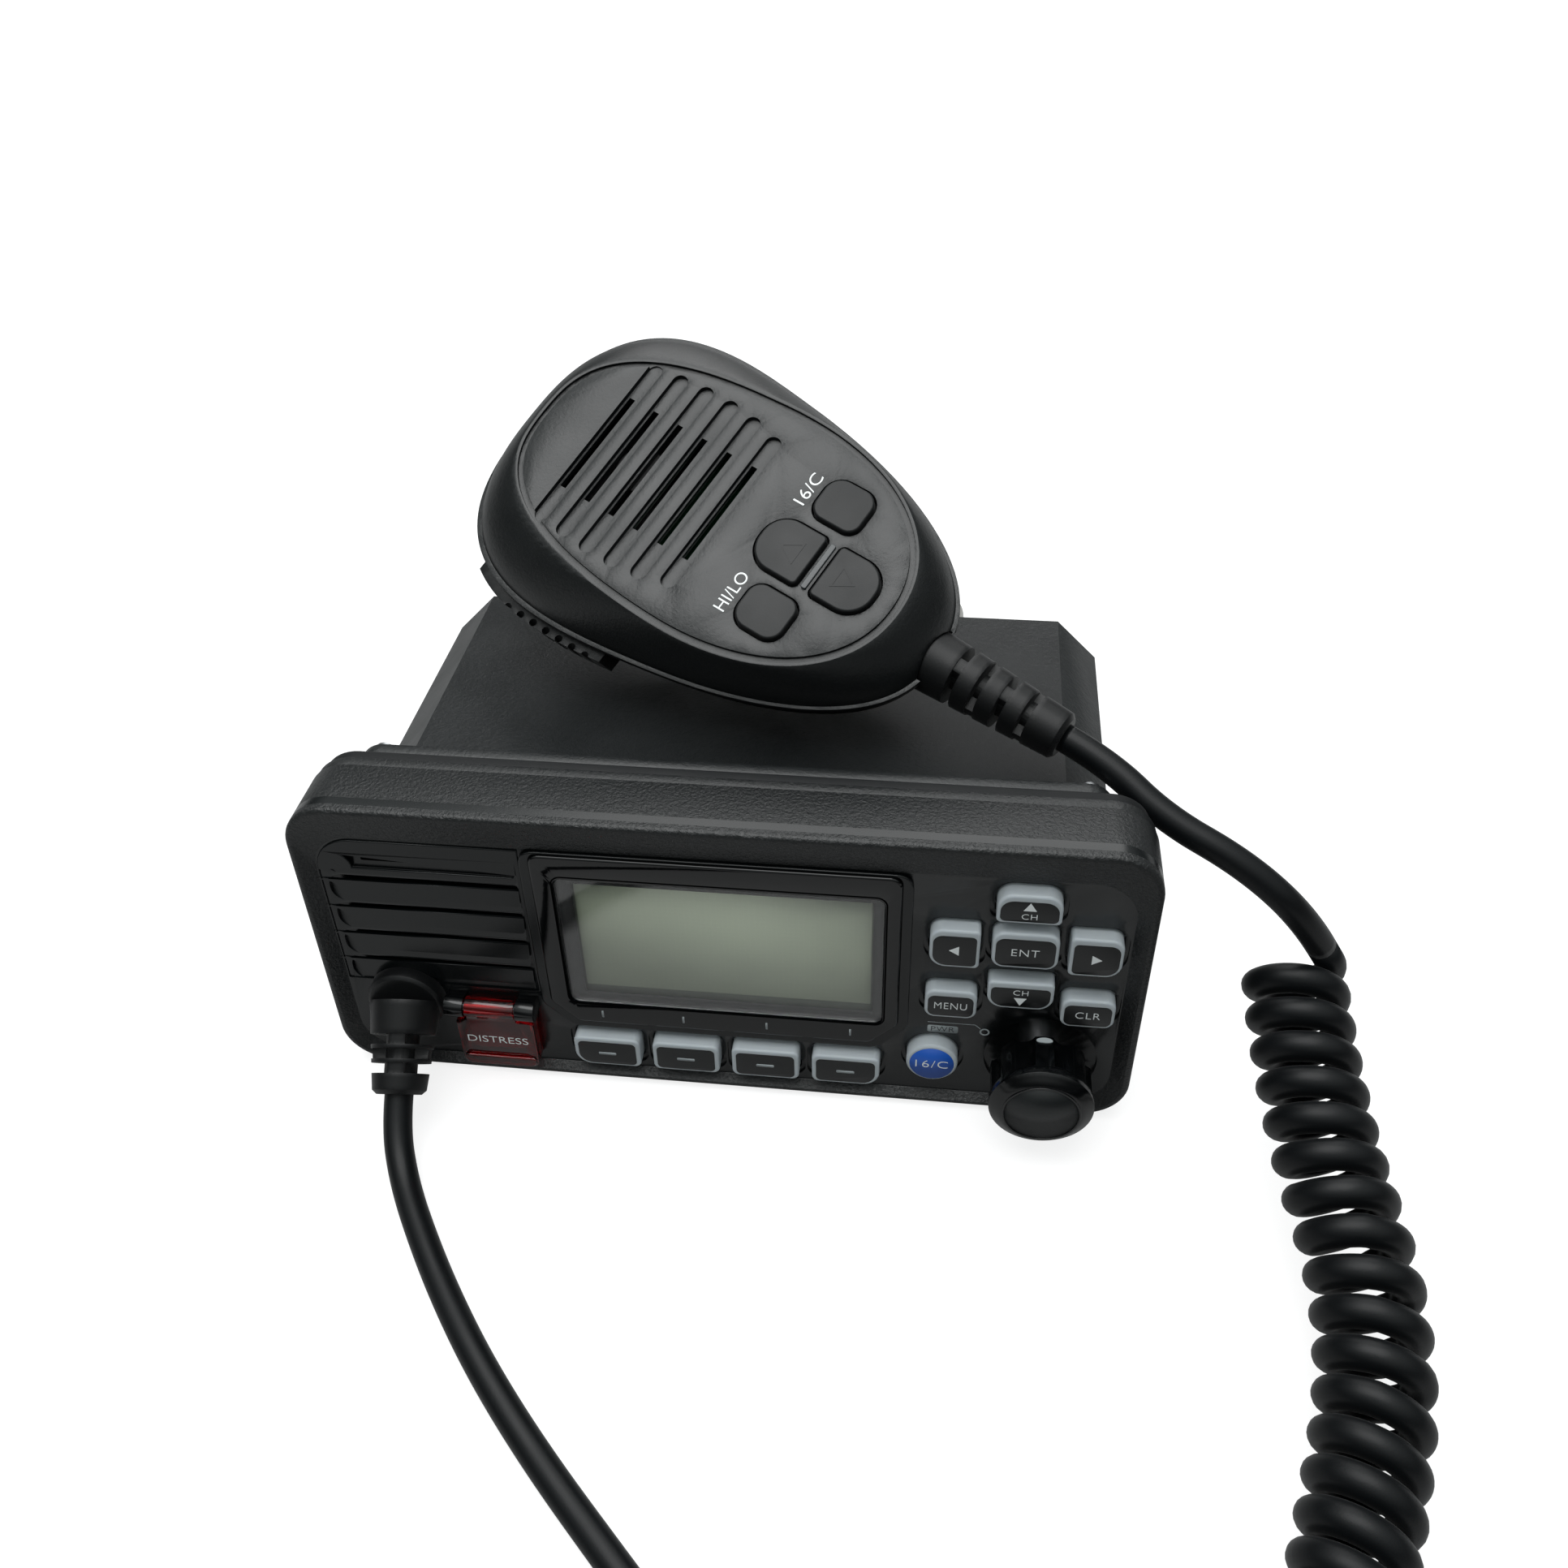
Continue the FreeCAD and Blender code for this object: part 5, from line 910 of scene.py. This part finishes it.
@dataclass
class Keypad:
    """The rubber keys' printed tops, which leave a pale border."""

    front: float = 0.4
    ink: float = 0.055
    border: float = 0.62
    keys: tuple[KeyShape, ...] = (
        KeyShape("key_up", 55.8, 50.4, 57.0, 11.4, (0.9, 3.0, 3.0, 0.9), "CH", 2.7, Way.UP),
        KeyShape("key_enter", 55.8, 39.4, 47.9, 11.8, (2.2, 2.2, 2.2, 2.2), "ENT", 4.9),
        KeyShape("key_down", 55.8, 28.9, 35.6, 12.0, (3.0, 0.9, 0.9, 3.0), "CH", 2.7, Way.DOWN),
        KeyShape("key_left", 43.3, 38.5, 47.6, 9.0, (0.9, 0.9, 2.4, 3.0), way=Way.LEFT),
        KeyShape("key_right", 68.3, 38.5, 47.6, 9.4, (3.0, 2.4, 0.9, 0.9), way=Way.RIGHT),
        KeyShape("key_menu", 43.3, 25.2, 32.2, 9.6, (1.9, 1.9, 1.9, 1.9), "MENU", 6.0),
        KeyShape("key_clear", 68.3, 25.2, 32.2, 9.8, (1.9, 1.9, 1.9, 1.9), "CLR", 4.5),
    )
    soft_pitch: float = 15.75
    soft_shift: float = 0.3
    soft_half: float = 5.75
    soft_low: float = 4.9
    soft_high: float = 10.9
    dash: Box = (-1.75, 1.75, 7.45, 8.15)
    round_spot: Point = (40.5, 12.1)
    round_radius: float = 4.25

    def build(self) -> None:
        """Prints every key."""
        for key in self.keys:
            self.key(key)
        for number in range(1, 5):
            self.soft_key(number)
        x, y = self.round_spot
        self.top("key_round", circle(x, y, self.round_radius), Finishes.KEY_BLUE, "key_blue")
        self.word("key_round", "16/C", x, y - 0.1, 1.95, 6.2, "key_blue")

    def top(self, node: str, outline: Sequence[Point], finish: Finish = Finishes.KEY_TOP,
            slot: str = "key_white") -> None:
        """Prints the top of a key, within its pale border."""
        print_mesh = plate(outline, self.front - 0.05, self.front + 0.04, Side.RADIO, bevel=0.03)
        piece(f"{node}_print", print_mesh, finish, node)

    def word(self, node: str, text: str, x: float, y: float, height: float, width: float,
             slot: str = "key_white") -> None:
        """Prints a word on a key."""
        piece(f"{node}_legend", legend(text, x, y, height, width, self.front + self.ink, Side.RADIO),
              Finishes.LEGEND, node)

    def key(self, key: KeyShape) -> None:
        """Prints one key of the keypad: its black top, then a word, a triangle or both."""
        outline = rounded((key.middle - key.width / 2 + self.border, key.middle + key.width / 2 - self.border,
                           key.low + self.border, key.high - self.border * 2.1),
                          [max(radius - self.border, 0.9) for radius in key.radii])
        self.top(key.node, outline)
        middle = (key.low + key.high) / 2 - self.border * 0.4
        if key.way and key.text:
            shift = 1.0 if key.way is Way.UP else -1.0
            self.triangle(key.node, key.middle, middle + shift, key.way, 2.3)
            self.word(key.node, key.text, key.middle, middle - shift * 1.2, 1.25, key.text_width)
        elif key.way:
            self.triangle(key.node, key.middle, middle, key.way, 2.2)
        else:
            self.word(key.node, key.text, key.middle, middle, 1.65, key.text_width)

    def triangle(self, node: str, x: float, y: float, way: Way, size: float) -> None:
        """Prints a solid triangle on a key.

        Args:
            node: The key's node, which is also its body.
            x: Middle across the face.
            y: Middle up the face.
            way: Where it points.
            size: Its base in millimetres.
        """
        turn = Matrix.Rotation(math.radians(way.value), 2)
        corners = [Vector((-size / 2, -size * 0.36)), Vector((size / 2, -size * 0.36)), Vector((0.0, size * 0.46))]
        outline = [tuple(Vector((x, y)) + turn @ corner) for corner in corners]
        mark = plate(outline, self.front + 0.03, self.front + 0.065, Side.RADIO)
        mark.shade_flat()
        piece(f"{node}_arrow", mark, Finishes.LEGEND, node)

    def soft_key(self, number: int) -> None:
        """Prints a key under the display. The outer ones have a rounder outer lower corner."""
        node = f"soft_key_{number}"
        middle = self.soft_pitch * (number - 2.5) + self.soft_shift
        radii = (2.6 if number == 4 else 1.0, 1.0, 1.0, 2.6 if number == 1 else 1.0)
        sides = (middle - self.soft_half, middle + self.soft_half, self.soft_low, self.soft_high)
        self.top(node, rounded(sides, radii))
        left, right, low, high = self.dash
        dash = plate(rounded((middle + left, middle + right, low, high), 0.2, 3), self.front + 0.03,
                     self.front + 0.065, Side.RADIO)
        piece(f"{node}_dash", dash, Finishes.LEGEND_GREY, node)


@dataclass
class PushMark:
    """The knob's push mark on the panel: a badge with a word, and a line that leads to a ring."""

    level: float = -1.99
    ink: float = 0.02
    badge: Box = (39.3, 45.1, 18.5, 20.4)
    line: tuple[Point, ...] = ((39.3, 21.15), (48.2, 21.15), (49.2, 20.2), (49.3, 20.32), (48.25, 21.3), (39.3, 21.3))
    ring: Point = (50.1, 19.4)
    ring_outside: float = 0.95
    ring_inside: float = 0.62

    def build(self) -> None:
        """Prints the mark."""
        levels = (self.level, self.level + self.ink)
        left, right, low, high = self.badge
        piece("push_badge", plate(rounded(self.badge, 0.4, 4), *levels, Side.RADIO), Finishes.LEGEND_GREY)
        word = legend("PWR", (left + right) / 2, (low + high) / 2, 1.25, 4.4, self.level + 0.03, Side.RADIO)
        piece("push_word", word, Finishes.INK)
        line = plate(self.line, *levels, Side.RADIO)
        line.shade_flat()
        piece("push_line", line, Finishes.LEGEND_GREY)
        ring = plate(circle(*self.ring, self.ring_outside, 32), *levels, Side.RADIO,
                     hole=circle(*self.ring, self.ring_inside, 32))
        piece("push_ring", ring, Finishes.LEGEND_GREY)


@dataclass
class DistressCover:
    """Clear red cover that swings up from the emergency key."""

    word_spot: Point = (-44.85, 10.9)
    word_height: float = 1.75
    word_width: float = 12.2
    front: float = 1.7
    lip: Box = (-52.2, -37.6, 3.9, 6.4)
    lip_rise: float = 0.5

    def build(self) -> None:
        """Prints the cover's word and adds the lip that a finger lifts."""
        word = legend("DISTRESS", *self.word_spot, self.word_height, self.word_width, self.front + 0.01, Side.RADIO,
                      spread=1.0)
        piece("distress_legend", word, Finishes.LEGEND, Body.COVER.value)
        lip = pierced([rounded(self.lip, (1.4, 0.5, 0.5, 1.4))], self.front - 0.15, self.front + self.lip_rise,
                      Side.RADIO, 0.3)
        grip = piece("cover_lip", lip, Finishes.RED_CLEAR, Body.COVER.value)
        grip.visible_shadow = False


@dataclass
class Knob:
    """Fluted knob with a satin cap and an index mark."""

    x: float = 61.0
    z: float = 13.2
    face: float = 11.4
    cap: float = 7.2
    grip: float = 9.4
    index_level: float = 1.9
    index_half_width: float = 1.5
    index_half_height: float = 0.62
    index_sides: int = 20

    def build(self) -> None:
        """Adds the knob's face, the ring round it and the index."""
        face = plate(circle(self.x, self.z, self.cap - 0.35), self.face - 0.05, self.face + 0.1, Side.RADIO,
                     bevel=0.09)
        piece("knob_face", face, Finishes.KNOB_CAP, Body.KNOB.value)
        ring = pierced([circle(self.x, self.z, self.cap + 0.1, 64), circle(self.x, self.z, self.cap - 0.3, 64)],
                       self.face - 0.1, self.face + 0.2, Side.RADIO, 0.09)
        piece("knob_face_ring", ring, Finishes.KNOB, Body.KNOB.value)
        piece("knob_index", self.index(), Finishes.LEGEND_GREY, Body.KNOB.value)

    def index(self) -> Mesh:
        """An oval pad let into the top of the grip, curved with it."""
        mesh = bpy.data.meshes.new("knob_index")
        work = bmesh.new()
        rings = []
        for radius in (self.grip + 0.16, self.grip - 0.3):
            ring = []
            for angle in (2 * math.pi * step / self.index_sides for step in range(self.index_sides)):
                swing = math.pi / 2 + self.index_half_width / self.grip * math.cos(angle)
                ring.append(work.verts.new((self.x + radius * math.cos(swing), self.z + radius * math.sin(swing),
                                            self.index_level + self.index_half_height * math.sin(angle))))
            rings.append(ring)
        outer, inner = rings
        work.faces.new(outer)
        for step in range(self.index_sides):
            near = (step + 1) % self.index_sides
            work.faces.new((outer[step], outer[near], inner[near], inner[step]))
        bmesh.ops.recalc_face_normals(work, faces=work.faces)
        work.to_mesh(mesh)
        work.free()
        mesh.transform(FACES[Side.RADIO])
        return mesh


# The microphone, in millimetres on its own face


@dataclass
class Microphone:
    """Printing of the fist microphone, its light window and the marks sunk in its keys."""

    word_height: float = 2.5
    word_v: float = -8.3
    words: tuple[tuple[str, str, float, float], ...] = (
        ("mic_channel_word", "16/C", 12.6, 7.0), ("mic_power_word", "HI/LO", -12.6, 8.6))
    light_bar: Box = (-5.2, 5.2, -20.05, -18.85)
    key_top: float = 0.8
    marks: tuple[tuple[str, float, float], ...] = (("mic_key_up", -13.1, 1.0), ("mic_key_down", -25.6, -1.0))

    def build(self) -> None:
        """Prints the words and adds the light window and the triangles of the channel keys."""
        for name, text, u, width in self.words:
            word = legend(text, u, self.word_v, self.word_height, width, 0.02, Side.MICROPHONE, slim=0.004,
                          spread=1.0)
            piece(name, word, Finishes.LEGEND, Body.MICROPHONE.value)
        bar = pierced([rounded(self.light_bar, 0.4, 3)], -0.3, 0.45, Side.MICROPHONE, 0.15)
        piece("mic_light_bar", bar, Finishes.LIGHT_BAR, Body.MICROPHONE.value)
        for node, v, way in self.marks:
            outer, inner = ([(-half, v - base * way), (half, v - base * way), (0.0, v + tip * way)]
                            for half, base, tip in ((2.5, 1.9, 2.3), (1.9, 1.55, 1.65)))
            mark = plate(outer, self.key_top - 0.02, self.key_top + 0.06, Side.MICROPHONE, hole=inner)
            mark.shade_flat()
            piece(f"{node}_mark", mark, Finishes.MIC_KEY, node)


# The cord


def directions(line: Sequence[Vector]) -> list[Vector]:
    """Direction of a line at each of its points."""
    return [(b - a).normalized() for a, b in zip([line[0], *line[:-1]], [*line[1:], line[-1]])]


def length_of(line: Sequence[Vector]) -> float:
    """Length of a line in its own unit."""
    return sum((b - a).length for a, b in zip(line, line[1:]))


def evened(line: Sequence[Vector], count: int) -> list[Vector]:
    """Spaces the points of a line evenly.

    Args:
        line: Points of the line.
        count: How many steps it gets.

    Returns:
        Evenly spaced points.
    """
    marks = [0.0]
    for a, b in zip(line, line[1:]):
        marks.append(marks[-1] + (b - a).length)
    spots = []
    near = 0
    for i in range(count + 1):
        mark = marks[-1] * i / count
        while near < len(marks) - 2 and marks[near + 1] < mark:
            near += 1
        share = (mark - marks[near]) / max(marks[near + 1] - marks[near], 1e-12)
        spots.append(line[near].lerp(line[near + 1], share))
    return spots


def nurbs(name: str, points: Sequence[Vector], radius: float = 0.0) -> bpy.types.Curve:
    """Smooth line through a route's control points.

    Args:
        name: Name of the curve.
        points: The control points, in metres.
        radius: Radius of the tube round it in metres, or 0 for the bare line.

    Returns:
        The curve.
    """
    curve = bpy.data.curves.new(name, "CURVE")
    curve.dimensions = "3D"
    curve.resolution_u = 12
    spline = curve.splines.new("NURBS")
    spline.points.add(len(points) - 1)
    for point, spot in zip(spline.points, points):
        point.co = (*spot, 1.0)
    spline.order_u = 3
    spline.use_endpoint_u = True
    curve.bevel_depth = radius
    curve.bevel_resolution = 6
    curve.use_fill_caps = radius > 0
    return curve


def smooth_line(points: Sequence[Vector]) -> list[Vector]:
    """Points read along the smooth line of some control points."""
    mesh = settled(nurbs("line", points))
    spots = [vertex.co.copy() for vertex in mesh.vertices]
    bpy.data.meshes.remove(mesh)
    return spots


def swept(name: str, line: Sequence[Vector], radius: float, sides: int) -> Mesh:
    """A round tube along close points, with flat ends.

    Args:
        name: Name of the mesh.
        line: Points of its middle, in metres.
        radius: Radius in metres.
        sides: Facets round it.

    Returns:
        The mesh.
    """
    mesh = bpy.data.meshes.new(name)
    work = bmesh.new()
    along = directions(line)
    across = along[0].orthogonal().normalized()
    rings = []
    for spot, way in zip(line, along):
        across = (across - way * across.dot(way)).normalized()
        other = way.cross(across)
        rings.append([work.verts.new(spot + (across * math.cos(a) + other * math.sin(a)) * radius)
                      for a in (2 * math.pi * k / sides for k in range(sides))])
    for one, two in zip(rings, rings[1:]):
        for k in range(sides):
            m = (k + 1) % sides
            work.faces.new((one[k], one[m], two[m], two[k]))
    work.faces.new(list(reversed(rings[0])))
    work.faces.new(rings[-1])
    work.to_mesh(mesh)
    work.free()
    mesh.shade_smooth()
    return mesh


@dataclass
class Cords:
    """The microphone's lead, the curly length and the lead back to the radio, which are one cord.

    Routes are in millimetres from the case's rear bottom edge, with heights above the floor.
    """

    diameter: float = 5.5
    curl_outside: float = 19.0
    curl_gap: float = 0.6
    start_turn: float = 60.0
    end_turn: float = 180.0
    points_per_turn: int = 36
    curl_axis: tuple[Spot, ...] = (
        (106.2, 2.9, 31.1), (107.1, -22.0, 23.2), (116.3, -59.8, 14.3), (105.6, -98.7, 9.7), (91.0, -140.5, 9.7),
        (61.0, -160.5, 9.7), (27.0, -160.5, 9.7))
    mic_boot_end: Spot = (0.0, -73.0, -13.6)  # on the microphone
    mic_boot_straight: float = 9.5
    mic_lead_way: tuple[Spot, ...] = ((79.2, 11.2, 59.6), (93.1, 4.5, 56.0))
    curl_straight: float = 11.0
    radio_boot_root: Spot = (-62.7, -0.4, 18.5)  # on the radio
    radio_boot_end: Spot = (-61.6, -26.8, 9.9)
    radio_boot_straight: float = 6.5
    radio_lead_drop: Spot = (-58.2, -40.0, 3.1)
    radio_lead_way: tuple[Point, ...] = (
        (-52.7, -49.4), (-43.6, -62.6), (-33.0, -75.8), (-20.1, -89.3), (-4.6, -103.6), (8.5, -115.5),
        (20.3, -129.4), (24.7, -137.6))
    floor_gap: float = 0.1
    curl_end_straight: float = 8.5

    def build(self) -> None:
        """Makes the three stretches."""
        helix = self.helix()
        self.curls(helix)
        self.mic_lead(helix)
        self.radio_lead(helix)

    @property
    def radius(self) -> float:
        """Radius of the cord in metres."""
        return self.diameter / 2 * MM

    def curls(self, helix: Sequence[Vector]) -> None:
        """Makes the curly length."""
        curl = piece("curly_cord_tube", swept("curly_cord_tube", helix, self.radius, 20), Finishes.JACKET)
        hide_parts("curly_cord")

    def mic_lead(self, helix: Sequence[Vector]) -> None:
        """Makes the lead from the microphone's boot to the first curl."""
        boot_end = METRES @ MIC_POSE @ Vector(self.mic_boot_end)
        boot_way = (METRES @ MIC_POSE).to_3x3() @ Vector((0.0, -1.0, 0.0))
        entry_way = (helix[1] - helix[0]).normalized()
        route = [boot_end, boot_end + boot_way * self.mic_boot_straight, *[floor_spot(*p) for p in self.mic_lead_way],
                 helix[0] - entry_way * self.curl_straight * MM, helix[0]]
        line = smooth_line(route)
        lead = bpy.data.objects.new("mic_lead_tube", swept("mic_lead_tube", line, self.radius, 24))
        bpy.context.scene.collection.objects.link(lead)
        lead.data.materials.append(Finishes.JACKET.material())
        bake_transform(lead)
        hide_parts("mic_lead")

    def radio_lead(self, helix: Sequence[Vector]) -> None:
        """Makes the lead from the radio's boot, down to the floor and along it to the last curl."""
        end = floor_spot(*self.radio_boot_end)
        way = (end - METRES @ REST @ Vector(self.radio_boot_root)).normalized() * MM
        leaving_way = (helix[-1] - helix[-2]).normalized()
        low = self.diameter / 2 + self.floor_gap
        route = [end, end + way * self.radio_boot_straight, floor_spot(*self.radio_lead_drop),
                 *[floor_spot(x, y, low) for x, y in self.radio_lead_way],
                 helix[-1] + leaving_way * self.curl_end_straight * MM, helix[-1]]
        run = bpy.data.objects.new("radio_lead_tube", nurbs("radio_lead_tube", route, self.radius))
        bpy.context.scene.collection.objects.link(run)
        run.data.materials.append(Finishes.JACKET.material())
        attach(run, Body.RADIO.value)
        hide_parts("radio_lead")
        length_of(smooth_line(route))

    def helix(self) -> list[Vector]:
        """Winds the curls round their smooth axis, opening a little where it bends.

        Returns:
            The wire's points, with a straight cord's width at either end.
        """
        line = evened(smooth_line([floor_spot(*p) for p in self.curl_axis]), 900)
        radius = (self.curl_outside - self.diameter) / 2 * MM
        ways = directions(line)
        turns = [0.0]
        for i in range(1, len(line)):
            step = (line[i] - line[i - 1]).length
            bend = ways[i].angle(ways[i - 1]) / step
            pitch = (self.diameter + self.curl_gap) * MM / (1.0 - 1.05 * radius * bend)
            turns.append(turns[-1] + 2 * math.pi * step / pitch)
        start, end = math.radians(self.start_turn), math.radians(self.end_turn)
        whole = math.floor((turns[-1] + start - end) / (2 * math.pi))
        total = end - start + 2 * math.pi * whole
        turns = [t * total / turns[-1] for t in turns]
        count = round(total / (2 * math.pi) * self.points_per_turn)
        spots = []
        near = 0
        for angle in (total * i / count for i in range(count + 1)):
            while near < len(turns) - 2 and turns[near + 1] < angle:
                near += 1
            share = (angle - turns[near]) / (turns[near + 1] - turns[near])
            middle = line[near].lerp(line[near + 1], share)
            way = ways[near].lerp(ways[near + 1], share).normalized()
            right = Vector((0.0, 0.0, 1.0)).cross(way).normalized()
            up = way.cross(right)
            spots.append(middle + (right * math.sin(start + angle) + up * math.cos(start + angle)) * radius)
        first = (spots[0] * 3 - spots[1] * 4 + spots[2]).normalized()
        last = (spots[-1] * 3 - spots[-2] * 4 + spots[-3]).normalized()
        return [spots[0] + first * self.diameter * MM, *spots, spots[-1] + last * self.diameter * MM]


# The whole


def dress_nodes(nodes: Mapping[str, tuple[Finish, float]]) -> None:
    """Gives every carried-over CAD node its finish and its soft edges.

    Args:
        nodes: Node name to finish and edge width in millimetres.
    """
    for name, (finish, width) in nodes.items():
        target = frame["nodes"][name]
        target.data.materials.clear()
        target.data.materials.append(finish.material())
        if width:
            crisp(target, width)
    # Light passes these clear pieces, so they throw no shadow on what they cover
    for name in ("distress_cover", "display_lens"):
        frame["nodes"][name].visible_shadow = False


def main() -> None:
    """Builds the studio and every sub-assembly in order, and reports each piece."""
    logging.basicConfig(level=logging.INFO, format="%(message)s")
    dress_nodes(NODES)
    for part in (Studio(), Display(), Grille(), Keypad(), PushMark(), DistressCover(), Knob(), Microphone(), Cords()):
        before = set(bpy.data.objects.keys())
        part.build()
        for name in sorted(set(bpy.data.objects.keys()) - before):
            LOG.info("%s: %s", type(part).__name__, name)


if __name__ == "__main__":
    main()
